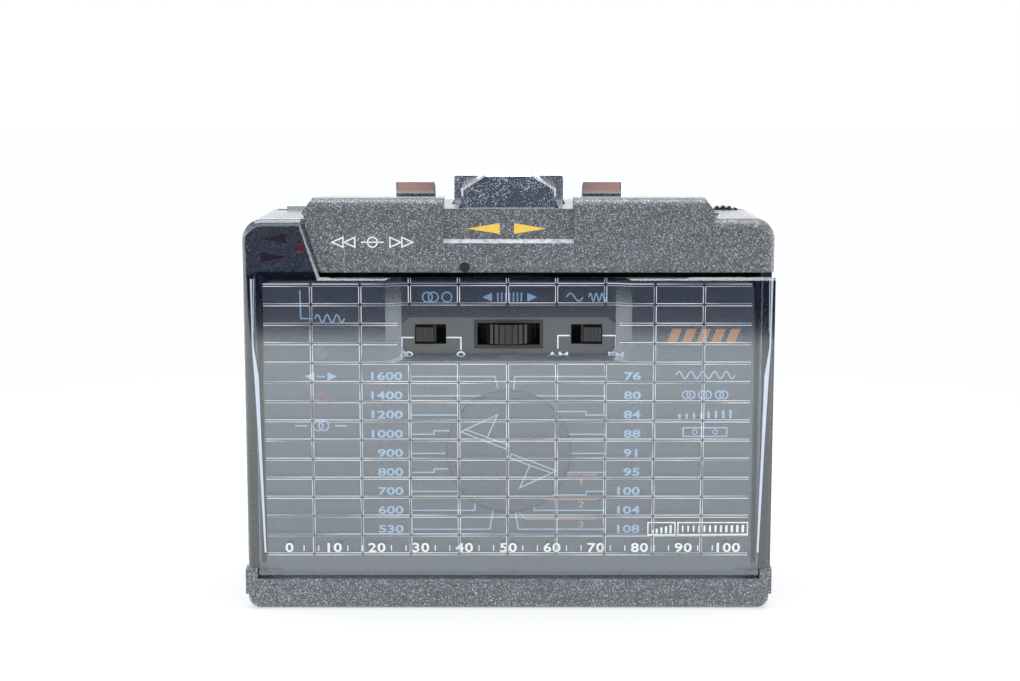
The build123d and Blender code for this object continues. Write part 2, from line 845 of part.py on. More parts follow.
# Tuning wheel: a ribbed thumbwheel on an upright shaft
rib_step = 360 / wheel_ribs
with BuildPart() as tuning_wheel:
    with BuildSketch(at_z(wheel_z - wheel_height / 2)):
        with Locations((0, wheel_y)):
            Circle(wheel_radius - tooth_depth)
            with PolarLocations(wheel_radius - tooth_depth, wheel_ribs):
                Rectangle(2 * tooth_depth, tooth_depth * 2)
            Circle(shaft_radius, mode=Mode.SUBTRACT)
    extrude(amount=wheel_height)
tuning_wheel.part.label = "tuning_wheel"
export_step(tuning_wheel.part, "parts/tuning_wheel.step")

# Drive shaft of the dial, with its rubber roller behind the dial's rim
with BuildPart() as dial_drive_shaft:
    with BuildSketch(at_z(roller_z - roller_thickness)):
        with Locations((0, wheel_y)):
            Circle(shaft_radius)
    extrude(amount=wheel_z + wheel_height / 2 + pack_wall - roller_z + roller_thickness)
dial_drive_shaft.part.label = "dial_drive_shaft"
export_step(dial_drive_shaft.part, "parts/dial_drive_shaft.step")

with BuildPart() as dial_drive_roller:
    with BuildSketch(at_z(roller_z - roller_thickness / 2)):
        with Locations((0, wheel_y)):
            Circle(roller_radius)
            Circle(shaft_radius, mode=Mode.SUBTRACT)
    extrude(amount=roller_thickness)
dial_drive_roller.part.label = "dial_drive_roller"
export_step(dial_drive_roller.part, "parts/dial_drive_roller.step")

# Dial: a flat disc with a ring groove, on a pin behind it
with BuildPart() as dial_disc:
    with BuildSketch(at_y(dial_rear_y)):
        with Locations((0, dial_z)):
            Circle(dial_radius)
    extrude(amount=dial_thickness)
    with BuildSketch(at_y(dial_front_y)):
        with Locations((0, dial_z)):
            Circle(dial_radius - 2 * tooth_depth)
            Circle(dial_radius - 3 * tooth_depth, mode=Mode.SUBTRACT)
    extrude(amount=-tooth_depth / 2, mode=Mode.SUBTRACT)
    with BuildSketch(at_y(dial_rear_y)):
        with Locations((0, dial_z)):
            Circle(dial_pin_radius)
    extrude(amount=-dial_pin_length)
dial_disc.part.label = "dial_disc"
export_step(dial_disc.part, "parts/dial_disc.step")

# Tuner board behind the dial
tuner_board_front = dial_rear_y + 2 * roller_radius - board_thickness
with BuildPart() as tuner_board:
    with BuildSketch(at_y(tuner_board_front + board_thickness)):
        window(
            -pack_width / 2 + 2 * pack_wall,
            pack_width / 2 - 2 * pack_wall,
            dial_z - dial_radius,
            roller_z - roller_thickness,
        )
        with Locations(*hub_places):
            Circle(hub_recess_radius + pack_wall + dial_clearance, mode=Mode.SUBTRACT)
    extrude(amount=board_thickness)
tuner_board.part.label = "tuner_board"
export_step(tuner_board.part, "parts/tuner_board.step")

# Ferrite rod aerial along the foot of the pack
ferrite_radius = 2.6
ferrite_length = 70.0
ferrite_z = pack_bottom + pack_wall + ferrite_radius
with BuildPart() as ferrite_aerial:
    with BuildSketch(at_x(-ferrite_length / 2)):
        with Locations((pack_split_y - dial_clearance, ferrite_z)):
            Circle(ferrite_radius)
    extrude(amount=ferrite_length)
ferrite_aerial.part.label = "ferrite_aerial"
export_step(ferrite_aerial.part, "parts/ferrite_aerial.step")


def slide_knob(x):
    """Front view of a switch knob."""
    with Locations((x, wheel_z)):
        Rectangle(knob_width, knob_height)


def slide_knob_grooves(x):
    """Front view of the grip grooves across a switch knob."""
    with Locations((x, wheel_z)):
        with GridLocations(knob_groove_pitch, knob_height, knob_grooves, 1):
            Rectangle(groove_width, knob_height)


mode_knob_x = -slot_offset - (slot_width - knob_width) / 2 + dial_clearance
band_knob_x = slot_offset + (slot_width - knob_width) / 2 - dial_clearance
flange_width = slot_width + 2 * slot_clearance

# Mode knob and band knob, each with a flange that keeps it behind the face
with BuildPart() as mode_knob:
    with BuildSketch(at_y(pack_front_y + pack_wall + dial_clearance)):
        slide_knob(mode_knob_x)
    extrude(amount=pack_wall + dial_clearance + knob_proud)
    with BuildSketch(at_y(pack_front_y + 2 * pack_wall + dial_clearance)):
        slide_knob(mode_knob_x)
        with Locations((mode_knob_x, wheel_z)):
            Rectangle(knob_width + 2 * slot_clearance, slot_height + 2 * slot_clearance)
    extrude(amount=pack_wall)
    with BuildSketch(at_y(pack_front_y - knob_proud + groove_depth)):
        slide_knob_grooves(mode_knob_x)
    extrude(amount=groove_depth, mode=Mode.SUBTRACT)
mode_knob.part.label = "mode_knob"
export_step(mode_knob.part, "parts/mode_knob.step")

with BuildPart() as band_knob:
    with BuildSketch(at_y(pack_front_y + pack_wall + dial_clearance)):
        slide_knob(band_knob_x)
    extrude(amount=pack_wall + dial_clearance + knob_proud)
    with BuildSketch(at_y(pack_front_y + 2 * pack_wall + dial_clearance)):
        slide_knob(band_knob_x)
        with Locations((band_knob_x, wheel_z)):
            Rectangle(knob_width + 2 * slot_clearance, slot_height + 2 * slot_clearance)
    extrude(amount=pack_wall)
    with BuildSketch(at_y(pack_front_y - knob_proud + groove_depth)):
        slide_knob_grooves(band_knob_x)
    extrude(amount=groove_depth, mode=Mode.SUBTRACT)
band_knob.part.label = "band_knob"
export_step(band_knob.part, "parts/band_knob.step")

# Tuning light and stereo light of the pack
with BuildPart() as tune_led:
    with BuildSketch(at_y(pack_front_y + 2 * pack_wall)):
        with Locations((led_x, tune_led_z)):
            Circle(led_radius)
    extrude(amount=2 * pack_wall)
tune_led.part.label = "tune_led"
export_step(tune_led.part, "parts/tune_led.step")

with BuildPart() as stereo_led:
    with BuildSketch(at_y(pack_front_y + 2 * pack_wall)):
        with Locations((led_x, stereo_led_z)):
            Circle(led_radius)
    extrude(amount=2 * pack_wall)
stereo_led.part.label = "stereo_led"
export_step(stereo_led.part, "parts/stereo_led.step")

# Reel spindles: finned posts on flanges, with the reel gear behind the deck
for name, x in (("supply_spindle", -hub_x), ("takeup_spindle", hub_x)):
    with BuildPart() as reel_spindle:
        with BuildSketch(at_y(deck_y - 2 * running_clearance)):
            with Locations((x, hub_z)):
                Circle(spindle_radius - spindle_fin)
                with PolarLocations(spindle_radius - spindle_fin, 3):
                    Rectangle(2 * spindle_fin, spindle_fin)
        extrude(amount=spindle_reach)
        with BuildSketch(at_y(deck_y - running_clearance)):
            with Locations((x, hub_z)):
                Circle(spindle_radius)
        extrude(amount=deck_gap + running_clearance)
        with BuildSketch(at_y(deck_rear_y + running_clearance)):
            with Locations((x, hub_z)):
                Circle(spindle_radius / 2)
        extrude(amount=deck_thickness + 3 * running_clearance)
        with BuildSketch(at_y(deck_rear_y + running_clearance + reel_gear_thickness)):
            with Locations((x, hub_z)):
                Circle(reel_gear_radius)
        extrude(amount=reel_gear_thickness)
    reel_spindle.part.label = name
    export_step(reel_spindle.part, f"parts/{name}.step")

# Brass bushes that carry the capstans in the deck
with BuildPart() as capstan_bushes:
    with BuildSketch(at_y(flywheel_y - 2 * running_clearance)):
        with Locations(*capstan_places):
            Circle(2 * capstan_radius)
            Circle(capstan_radius + running_clearance, mode=Mode.SUBTRACT)
    extrude(amount=flywheel_y - deck_y - 2 * running_clearance)
capstan_bushes.part.label = "capstan_bushes"
export_step(capstan_bushes.part, "parts/capstan_bushes.step")

# Flywheels, each with its capstan: one for either direction of the tape
for name, x in (("left_flywheel", -capstan_x), ("right_flywheel", capstan_x)):
    with BuildPart() as flywheel:
        with BuildSketch(at_y(flywheel_y + flywheel_thickness)):
            with Locations((x, capstan_z)):
                Circle(flywheel_radius)
        extrude(amount=flywheel_thickness)
        with BuildSketch(at_y(flywheel_y + flywheel_thickness)):
            with Locations((x, capstan_z)):
                Circle(flywheel_radius - flywheel_rim)
                Circle(flywheel_hub_radius, mode=Mode.SUBTRACT)
        extrude(amount=flywheel_thickness / 2, mode=Mode.SUBTRACT)
        with BuildSketch(at_y(bracket_y + deck_thickness)):
            with Locations((x, capstan_z)):
                Circle(capstan_radius)
        extrude(amount=bracket_y + deck_thickness - deck_y + capstan_reach)
    flywheel.part.label = name
    export_step(flywheel.part, f"parts/{name}.step")

# Bracket across the back of the flywheels, on two posts of its own
with BuildPart() as flywheel_bracket:
    with BuildSketch(at_y(bracket_y + deck_thickness)):
        window(
            -capstan_x - bracket_rise,
            capstan_x + bracket_rise,
            capstan_z - bracket_rise,
            capstan_z + bracket_rise,
        )
        with Locations(*capstan_places):
            Circle(capstan_radius + running_clearance, mode=Mode.SUBTRACT)
    extrude(amount=deck_thickness)
    with BuildSketch(at_y(bracket_y)):
        with Locations((-bracket_post_x, capstan_z), (bracket_post_x, capstan_z)):
            Circle(2 * capstan_radius)
    extrude(amount=bracket_y - deck_rear_y)
flywheel_bracket.part.label = "flywheel_bracket"
export_step(flywheel_bracket.part, "parts/flywheel_bracket.step")

# Motor with its pulley
with BuildPart() as drive_motor:
    with BuildSketch(at_y(seam_y + door_gap + motor_length)):
        with Locations((motor_x, motor_z)):
            Circle(motor_radius)
    extrude(amount=motor_length)
    chamfer(edges().filter_by(GeomType.CIRCLE), motor_edge)
drive_motor.part.label = "drive_motor"
export_step(drive_motor.part, "parts/drive_motor.step")

with BuildPart() as motor_pulley:
    with BuildSketch(at_y(seam_y)):
        with Locations((motor_x, motor_z)):
            Circle(pulley_radius)
    extrude(amount=seam_y - belt_y + belt_gap)
motor_pulley.part.label = "motor_pulley"
export_step(motor_pulley.part, "parts/motor_pulley.step")

# Rubber belt round both flywheels and the motor pulley
belt_runs = [(x, z, flywheel_radius) for x, z in capstan_places] + [(motor_x, motor_z, pulley_radius)]
with BuildPart() as drive_belt:
    with BuildSketch(at_y(belt_y + belt_width)):
        for x, z, radius in belt_runs:
            with Locations((x, z)):
                Circle(radius + belt_gap + belt_thickness)
        make_hull()
        with BuildSketch(mode=Mode.SUBTRACT):
            for x, z, radius in belt_runs:
                with Locations((x, z)):
                    Circle(radius + belt_gap)
            make_hull()
    extrude(amount=belt_width)
drive_belt.part.label = "drive_belt"
export_step(drive_belt.part, "parts/drive_belt.step")

# Tuning capacitor between the dial and its board
with BuildPart() as tuning_capacitor:
    with BuildSketch(at_y(tuner_board_front)):
        with Locations((0, dial_z)):
            Rectangle(capacitor_size, capacitor_size)
            chamfer(vertices(), pack_wall)
            Circle(dial_pin_radius + running_clearance, mode=Mode.SUBTRACT)
    extrude(amount=tuner_board_front - dial_rear_y - dial_clearance)
tuning_capacitor.part.label = "tuning_capacitor"
export_step(tuning_capacitor.part, "parts/tuning_capacitor.step")

# Supply contacts: three pads on the pack and three sprung leaves on the deck
contact_pitch = 6.0
contact_width = 3.0
contact_low = pack_bottom + 6.0
contact_height = 7.0
contact_places = [(-contact_pitch, 0), (0, 0), (contact_pitch, 0)]
with BuildPart() as pack_contacts:
    with BuildSketch(at_y(pack_rear_y + dial_clearance)):
        for x, z in contact_places:
            window(x - contact_width / 2, x + contact_width / 2, contact_low, contact_low + contact_height)
    extrude(amount=dial_clearance)
pack_contacts.part.label = "pack_contacts"
export_step(pack_contacts.part, "parts/pack_contacts.step")

with BuildPart() as deck_contacts:
    with BuildSketch(at_y(deck_y)):
        window(-2 * contact_pitch, 2 * contact_pitch, contact_low, contact_low + contact_height)
    extrude(amount=deck_gap)
    with BuildSketch(at_y(deck_y - deck_gap)):
        for x, z in contact_places:
            middle = contact_low + contact_height / 2
            window(x - contact_width / 3, x + contact_width / 3, middle - contact_width / 2, middle + contact_width / 2)
    extrude(amount=deck_gap)
deck_contacts.part.label = "deck_contacts"
export_step(deck_contacts.part, "parts/deck_contacts.step")

# Head carriage: a plate over the pack with two forks and the axles of the pinch rollers
carriage_z = pinch_z + pinch_radius + slot_clearance
carriage_thickness = 1.2
cheek_thickness = 0.8
cheek_width = 5.0
pinch_rear_y = pack_rear_y - pack_wall
pinch_front_y = pinch_rear_y - pinch_length + slot_clearance
cheek_gap = 0.3
with BuildPart() as head_carriage:
    with BuildSketch(at_z(carriage_z)):
        window(
            -carriage_half_width,
            carriage_half_width,
            pinch_front_y - cheek_gap - cheek_thickness,
            deck_y - deck_gap,
        )
    extrude(amount=carriage_thickness)
    for rear in (pinch_rear_y + cheek_gap + cheek_thickness, pinch_front_y - cheek_gap):
        with BuildSketch(at_y(rear)):
            for side in (-1, 1):
                middle = side * capstan_x
                window(middle - cheek_width / 2, middle + cheek_width / 2, pinch_z, carriage_z)
                with Locations((middle, pinch_z)):
                    Circle(cheek_width / 2 - slot_clearance)
        extrude(amount=cheek_thickness)
    with BuildSketch(at_y(pinch_rear_y + cheek_gap)):
        with Locations((-capstan_x, pinch_z), (capstan_x, pinch_z)):
            Circle(shaft_radius)
    extrude(amount=pinch_length)
head_carriage.part.label = "head_carriage"
export_step(head_carriage.part, "parts/head_carriage.step")

for name, x in (("left_pinch_roller", -capstan_x), ("right_pinch_roller", capstan_x)):
    with BuildPart() as pinch_roller:
        with BuildSketch(at_y(pinch_rear_y)):
            with Locations((x, pinch_z)):
                Circle(pinch_radius)
                Circle(shaft_radius + running_clearance, mode=Mode.SUBTRACT)
        extrude(amount=pinch_rear_y - pinch_front_y)
    pinch_roller.part.label = name
    export_step(pinch_roller.part, f"parts/{name}.step")

# Tape head: a block with a rounded nose that faces the tape
head_low = bar_bottom + slot_clearance
head_middle_y = (pinch_rear_y + pinch_front_y) / 2
with BuildPart() as tape_head:
    with BuildSketch(at_y(head_middle_y + head_depth / 2)):
        window(-head_width / 2, head_width / 2, head_low, carriage_z)
        fillet(vertices().group_by(Axis.Y)[0], pinch_radius)
    extrude(amount=head_depth)
tape_head.part.label = "tape_head"
export_step(tape_head.part, "parts/tape_head.step")

# Direction key: a chromed cap in two steps, held in by a flange
with BuildPart() as direction_key:
    with BuildSketch(at_y(direction_key_step_y)):
        direction_key_front(0, key_foot)
    extrude(amount=direction_key_step_y - direction_key_front_y)
    key_front = faces().sort_by(Axis.Y)[0]
    chamfer(key_front.edges().sort_by(Axis.Z)[1:], key_bevel)
    with BuildSketch(at_y(direction_key_rear_y)):
        half = direction_key_rear_width / 2
        window(-half, half, key_foot, direction_key_rear_height)
        fillet(vertices().group_by(Axis.Y)[-1], key_round)
    extrude(amount=direction_key_rear_y - direction_key_step_y)
    with BuildSketch(at_z(key_foot)):
        front = direction_key_front_y + key_flange
        direction_key_plan(slot_clearance + key_flange, front, direction_key_rear_y + key_flange)
    extrude(amount=key_flange_thickness)
direction_key.part.label = "direction_key"
export_step(direction_key.part, "parts/direction_key.step")

# Stop key on the left and play key on the right
for name, side in (("stop_key", -1), ("play_key", 1)):
    with BuildPart() as small_key:
        with BuildSketch(at_z(key_foot)):
            small_key_plan(side, 0)
        extrude(amount=small_key_height - key_foot)
        fillet(edges().filter_by(Axis.Z), key_round)
        fillet(faces().sort_by(Axis.Z)[-1].edges(), key_round - running_clearance)
        with BuildSketch(at_z(key_foot)):
            small_key_plan(side, key_flange)
        extrude(amount=key_flange_thickness)
    small_key.part.label = name
    export_step(small_key.part, f"parts/{name}.step")

# Main circuit board, cut away round the headphone socket and the volume wheel
board_half = half_width - 2 * wall
board_foot = battery_shelf_z + battery_shelf + board_thickness
board_step = jack_z - jack_radius - 2 * board_thickness
with BuildPart() as circuit_board:
    with BuildSketch(at_y(board_y + board_thickness)):
        window(-board_half, board_half, board_foot, board_step)
        window(jack_length - half_width + board_thickness, board_half, board_step, shoulder_height - 2 * wall)
        with Locations(*screw_places):
            Circle(pillar_radius + board_thickness / 2, mode=Mode.SUBTRACT)
        with Locations((volume_x, volume_z)):
            Circle(pot_shaft_radius + slot_clearance, mode=Mode.SUBTRACT)
        for x, z in screw_places:
            near, far = sorted((x, half_width * x / abs(x)))
            with BuildSketch(mode=Mode.SUBTRACT):
                window(near, far, z - pillar_radius - board_thickness, z + wall)
    extrude(amount=board_thickness)
circuit_board.part.label = "circuit_board"
export_step(circuit_board.part, "parts/circuit_board.step")

# Volume control on the board, and its knurled wheel
with BuildPart() as volume_control:
    with BuildSketch(at_y(board_y)):
        with Locations((volume_x, volume_z)):
            Circle(pot_radius)
    extrude(amount=pot_thickness)
    with BuildSketch(at_y(volume_y)):
        with Locations((volume_x, volume_z)):
            Circle(pot_shaft_radius)
    extrude(amount=volume_y - board_y)
volume_control.part.label = "volume_control"
export_step(volume_control.part, "parts/volume_control.step")

with BuildPart() as volume_wheel:
    with BuildSketch(at_y(volume_y)):
        with Locations((volume_x, volume_z)):
            Circle(volume_radius - tooth_depth)
            with PolarLocations(volume_radius - tooth_depth, volume_teeth):
                Rectangle(2 * tooth_depth, 2 * tooth_depth)
            Circle(pot_shaft_radius + running_clearance, mode=Mode.SUBTRACT)
    extrude(amount=volume_thickness)
volume_wheel.part.label = "volume_wheel"
export_step(volume_wheel.part, "parts/volume_wheel.step")

# Tape switch: a low slider in the left shoulder
tape_flange_low = shoulder_height - 2 * wall + cover_clearance
with BuildPart() as tape_switch:
    with BuildSketch(at_z(tape_flange_low)):
        with Locations((tape_switch_x, tape_switch_y)):
            Rectangle(tape_switch_width, tape_switch_depth)
    extrude(amount=shoulder_height + tape_switch_proud - tape_flange_low)
    with BuildSketch(at_z(tape_flange_low)):
        with Locations((tape_switch_x, tape_switch_y)):
            Rectangle(tape_switch_width, tape_switch_depth + key_flange)
    extrude(amount=shoulder_height - wall - door_gap - tape_flange_low)
tape_switch.part.label = "tape_switch"
export_step(tape_switch.part, "parts/tape_switch.step")

# Headphone socket in the left side
with BuildPart() as headphone_jack:
    with BuildSketch(at_x(-half_width)):
        with Locations((jack_y, jack_z)):
            Circle(jack_radius)
    extrude(amount=jack_length)
    with BuildSketch(at_x(-half_width)):
        with Locations((jack_y, jack_z)):
            Circle(jack_bore_radius)
    extrude(amount=jack_bore_length, mode=Mode.SUBTRACT)
headphone_jack.part.label = "headphone_jack"
export_step(headphone_jack.part, "parts/headphone_jack.step")

# Case screws, driven from the back into the front frame
with BuildPart() as case_screws:
    with BuildSketch(at_y(rear_y - cover_clearance)):
        with Locations(*screw_places):
            Circle(screw_head_radius)
    extrude(amount=screw_head_height)
    with BuildSketch(at_y(rear_y - cover_clearance - screw_head_height)):
        with Locations(*screw_places):
            Circle(screw_radius)
    extrude(amount=rear_y - cover_clearance - screw_head_height - deck_rear_y - screw_radius)
case_screws.part.label = "case_screws"
export_step(case_screws.part, "parts/case_screws.step")

# Battery cover: slides out to the left on its dovetails
with BuildPart() as battery_cover:
    with BuildSketch(at_y(rear_y)):
        shell_outline(0)
    extrude(amount=2 * wall)
    fillet(faces().sort_by(Axis.Y)[-1].edges(), edge_round)
    with BuildSketch(at_x(cover_width - half_width)):
        battery_cover_outline(0)
    extrude(amount=-cover_width, mode=Mode.INTERSECT)
    with BuildSketch(at_y(rear_y - groove_depth)):
        with Locations((cover_grip_inset - half_width, cell_z)):
            with GridLocations(cover_grip_pitch, cover_grip_height, cover_grips, 1):
                Rectangle(2 * groove_width, cover_grip_height)
    extrude(amount=groove_depth, mode=Mode.SUBTRACT)
battery_cover.part.label = "battery_cover"
export_step(battery_cover.part, "parts/battery_cover.step")

# Two round cells end to end
with BuildPart() as battery_cells:
    for left in (-cell_length, 0):
        with BuildSketch(at_x(left)):
            with Locations((cell_y, cell_z)):
                Circle(cell_radius)
        extrude(amount=cell_length - cell_nub)
        with BuildSketch(at_x(left + cell_length - cell_nub)):
            with Locations((cell_y, cell_z)):
                Circle(cell_radius / 3)
        extrude(amount=cell_nub)
battery_cells.part.label = "battery_cells"
export_step(battery_cells.part, "parts/battery_cells.step")

# Bowed contact leaves at both ends of the cell bay
leaf = 0.4
with BuildPart() as battery_contacts:
    for side in (-1, 1):
        wall_x = side * (half_width - wall)
        tip_x = side * (cell_length + leaf / 4)
        bend = side * leaf
        low_y = cell_y - cell_radius / 2
        high_y = cell_y + cell_radius / 2
        with BuildSketch(at_z(cell_z - cell_radius / 2)):
            Polygon(
                (wall_x, low_y),
                (wall_x, high_y),
                (wall_x - bend, high_y),
                (tip_x, cell_y),
                (wall_x - bend, low_y),
                align=None,
            )
            with BuildSketch(mode=Mode.SUBTRACT):
                Polygon(
                    (wall_x - bend, low_y + 2 * leaf),
                    (wall_x - bend, high_y - 2 * leaf),
                    (tip_x + bend, cell_y),
                    align=None,
                )
        extrude(amount=cell_radius)
battery_contacts.part.label = "battery_contacts"
export_step(battery_contacts.part, "parts/battery_contacts.step")
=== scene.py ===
import math

import bmesh
import bpy
from mathutils import Matrix, Vector


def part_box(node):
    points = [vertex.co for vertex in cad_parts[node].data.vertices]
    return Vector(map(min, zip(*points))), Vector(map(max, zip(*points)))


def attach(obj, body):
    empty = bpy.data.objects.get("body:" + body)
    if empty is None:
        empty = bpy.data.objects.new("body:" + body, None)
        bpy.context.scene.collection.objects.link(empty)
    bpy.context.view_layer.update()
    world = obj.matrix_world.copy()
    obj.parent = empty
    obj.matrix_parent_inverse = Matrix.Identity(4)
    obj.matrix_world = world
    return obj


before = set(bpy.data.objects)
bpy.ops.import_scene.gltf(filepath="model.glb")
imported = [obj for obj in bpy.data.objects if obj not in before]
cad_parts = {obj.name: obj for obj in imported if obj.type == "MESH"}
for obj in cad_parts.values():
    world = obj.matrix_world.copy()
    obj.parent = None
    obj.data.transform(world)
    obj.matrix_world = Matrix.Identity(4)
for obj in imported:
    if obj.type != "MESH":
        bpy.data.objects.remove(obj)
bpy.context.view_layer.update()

# Camera
# The player is seen from the front and a little above, as it stands on a table.
MM = 0.001
camera_tilt = math.radians(8.155)
camera_data = bpy.data.cameras.new("camera")
camera_data.lens = 63.64
camera = bpy.data.objects.new("camera", camera_data)
camera.location = (0.28 * MM, -380.23 * MM, 108.55 * MM)
camera.rotation_euler = (math.pi / 2 - camera_tilt, 0, 0)
bpy.context.scene.collection.objects.link(camera)
bpy.context.scene.camera = camera
bpy.context.scene.view_settings.view_transform = "Standard"


# Table and studio
# A white table that ends a forearm in front of the player, large soft lamps above and at
# both sides, and a dark room beyond the table's edge that shows only in mirrors and glass.
def new_material(name):
    """A node material; returns it with its tree and its Principled shader."""
    material = bpy.data.materials.new(name)
    material.use_nodes = True
    tree = material.node_tree
    return material, tree, tree.nodes["Principled BSDF"]


def seen_rays(tree):
    """Two sockets: 1 for rays that see and 0 for light, and the strength that they see.

    Mirror rays meet a studio that is brighter than the white of the picture.
    """
    path = tree.nodes.new("ShaderNodeLightPath")
    total = path.outputs["Is Camera Ray"]
    for name in ("Is Glossy Ray", "Is Transmission Ray"):
        either = tree.nodes.new("ShaderNodeMath")
        either.operation = "MAXIMUM"
        tree.links.new(total, either.inputs[0])
        tree.links.new(path.outputs[name], either.inputs[1])
        total = either.outputs[0]
    strength = tree.nodes.new("ShaderNodeMath")
    strength.operation = "MULTIPLY_ADD"
    tree.links.new(path.outputs["Is Glossy Ray"], strength.inputs[0])
    strength.inputs[1].default_value = mirrored_white - 1
    strength.inputs[2].default_value = 1
    return total, strength.outputs[0]


def quad(name, corners, material):
    """A flat four-cornered stage piece."""
    mesh = bpy.data.meshes.new(name)
    mesh.from_pydata([Vector(corner) for corner in corners], [], [(0, 1, 2, 3)])
    mesh.materials.append(material)
    piece = bpy.data.objects.new(name, mesh)
    bpy.context.scene.collection.objects.link(piece)
    return piece


table_front, table_back, table_side = -0.425, 4, 3
table_top = -5e-5
mirrored_white, mirrored_ceiling = 2.6, 0.6
near_white, far_white = 0.64, 1.0
near_reach, far_reach = 0.10, 0.32
table_finish, tree, shader = new_material("table_white")
shader.inputs["Base Color"].default_value = (0.90, 0.92, 0.93, 1)
shader.inputs["Roughness"].default_value = 0.7
glow = tree.nodes.new("ShaderNodeEmission")
glow.inputs["Color"].default_value = (0.985, 0.995, 1.0, 1)
away = tree.nodes.new("ShaderNodeVectorMath")
away.operation = "LENGTH"
tree.links.new(tree.nodes.new("ShaderNodeNewGeometry").outputs["Position"], away.inputs[0])
fade = tree.nodes.new("ShaderNodeMapRange")
fade.inputs["From Min"].default_value = near_reach
fade.inputs["From Max"].default_value = far_reach
fade.inputs["To Min"].default_value = near_white
fade.inputs["To Max"].default_value = far_white
tree.links.new(away.outputs["Value"], fade.inputs["Value"])
seen, strength = seen_rays(tree)
tree.links.new(strength, glow.inputs["Strength"])
share = tree.nodes.new("ShaderNodeMath")
share.operation = "MULTIPLY"
tree.links.new(seen, share.inputs[0])
tree.links.new(fade.outputs[0], share.inputs[1])
blend = tree.nodes.new("ShaderNodeMixShader")
tree.links.new(share.outputs[0], blend.inputs[0])
tree.links.new(shader.outputs[0], blend.inputs[1])
tree.links.new(glow.outputs[0], blend.inputs[2])
tree.links.new(blend.outputs[0], tree.nodes["Material Output"].inputs["Surface"])
quad(
    "table",
    [
        (-table_side, table_front, table_top),
        (table_side, table_front, table_top),
        (table_side, table_back, table_top),
        (-table_side, table_back, table_top),
    ],
    table_finish,
)


def mirrored_card(name, left, right, low, high, y, colour):
    """An upright glowing card that shows only in mirrors and through glass."""
    finish, tree, shader = new_material(name)
    shader.inputs["Base Color"].default_value = (0, 0, 0, 1)
    shader.inputs["Roughness"].default_value = 1
    shader.inputs["Specular IOR Level"].default_value = 0
    shader.inputs["Emission Color"].default_value = (*colour, 1)
    shader.inputs["Emission Strength"].default_value = 1
    card = quad(name, [(right, y, low), (left, y, low), (left, y, high), (right, y, high)], finish)
    card.visible_camera = False
    card.visible_diffuse = False
    card.visible_shadow = False


room_middle, room_height = 0.035, 0.16
mirrored_card("room_low", -1.5, 1.5, 0, room_middle, table_front, (0.030, 0.045, 0.12))
mirrored_card("room_high", -1.5, 1.5, room_middle, room_height, table_front, (0.085, 0.108, 0.138))
# Two warm patches in front of the player, which the small chrome keys mirror.
hand_y = table_front + 0.005
for side, left, right in (("left", -0.075, -0.031), ("right", 0.031, 0.075)):
    mirrored_card("warm_patch_" + side, left, right, 0.045, 0.1, hand_y, (0.50, 0.32, 0.28))

ceiling_low, ceiling_high = 0.20, 0.42
world = bpy.data.worlds.new("studio")
bpy.context.scene.world = world
world.use_nodes = True
tree = world.node_tree
sky = tree.nodes["Background"]
sky.inputs["Color"].default_value = (0.93, 0.97, 1.0, 1)
sky.inputs["Strength"].default_value = 0.34
bright = tree.nodes.new("ShaderNodeBackground")
bright.inputs["Color"].default_value = (1, 1, 1, 1)
seen, strength = seen_rays(tree)
tree.links.new(strength, bright.inputs["Strength"])
ray_way = tree.nodes.new("ShaderNodeSeparateXYZ")
tree.links.new(tree.nodes.new("ShaderNodeTexCoord").outputs["Generated"], ray_way.inputs[0])
overhead = tree.nodes.new("ShaderNodeMapRange")
overhead.inputs["From Min"].default_value = ceiling_low
overhead.inputs["From Max"].default_value = ceiling_high
overhead.inputs["To Min"].default_value = mirrored_white - 1
overhead.inputs["To Max"].default_value = mirrored_ceiling - 1
tree.links.new(ray_way.outputs["Z"], overhead.inputs["Value"])
tree.links.new(overhead.outputs[0], strength.node.inputs[1])
blend = tree.nodes.new("ShaderNodeMixShader")
tree.links.new(seen, blend.inputs[0])
tree.links.new(sky.outputs[0], blend.inputs[1])
tree.links.new(bright.outputs[0], blend.inputs[2])
tree.links.new(blend.outputs[0], tree.nodes["World Output"].inputs["Surface"])


def softbox(name, place, aim, width, height, power):
    """A large soft lamp at a place, turned towards the point that it is aimed at."""
    lamp = bpy.data.lights.new(name, "AREA")
    lamp.shape = "RECTANGLE"
    lamp.size = width
    lamp.size_y = height
    lamp.energy = power
    holder = bpy.data.objects.new(name, lamp)
    holder.location = place
    holder.rotation_euler = (Vector(aim) - Vector(place)).to_track_quat("-Z", "Y").to_euler()
    bpy.context.scene.collection.objects.link(holder)


softbox("lamp_above", (0, 0.02, 0.95), (0, 0, 0.04), 1.1, 0.8, 13.0)
softbox("lamp_left", (-0.75, -0.30, 0.35), (0, 0, 0.05), 0.5, 0.7, 1.0)
softbox("lamp_right", (0.75, -0.30, 0.35), (0, 0, 0.05), 0.5, 0.7, 1.3)
softbox("lamp_front", (0, -0.95, 0.75), (0, 0, 0.05), 0.9, 0.5, 1.2)


# Shell
# The front frame, the rear case and the battery cover are moulded in charcoal plastic and
# sprayed with a satin lacquer full of fine silver flakes.
def new_node(tree, kind, settings=None, **inputs):
    """A shader node with its settings and the plain values of its inputs."""
    node = tree.nodes.new(kind)
    for name, value in (settings or {}).items():
        setattr(node, name, value)
    for name, value in inputs.items():
        node.inputs[name.replace("_", " ")].default_value = value
    return node


def object_place(tree):
    """The place on the piece itself, so that a pattern stays with it."""
    return tree.nodes.new("ShaderNodeTexCoord").outputs["Object"]


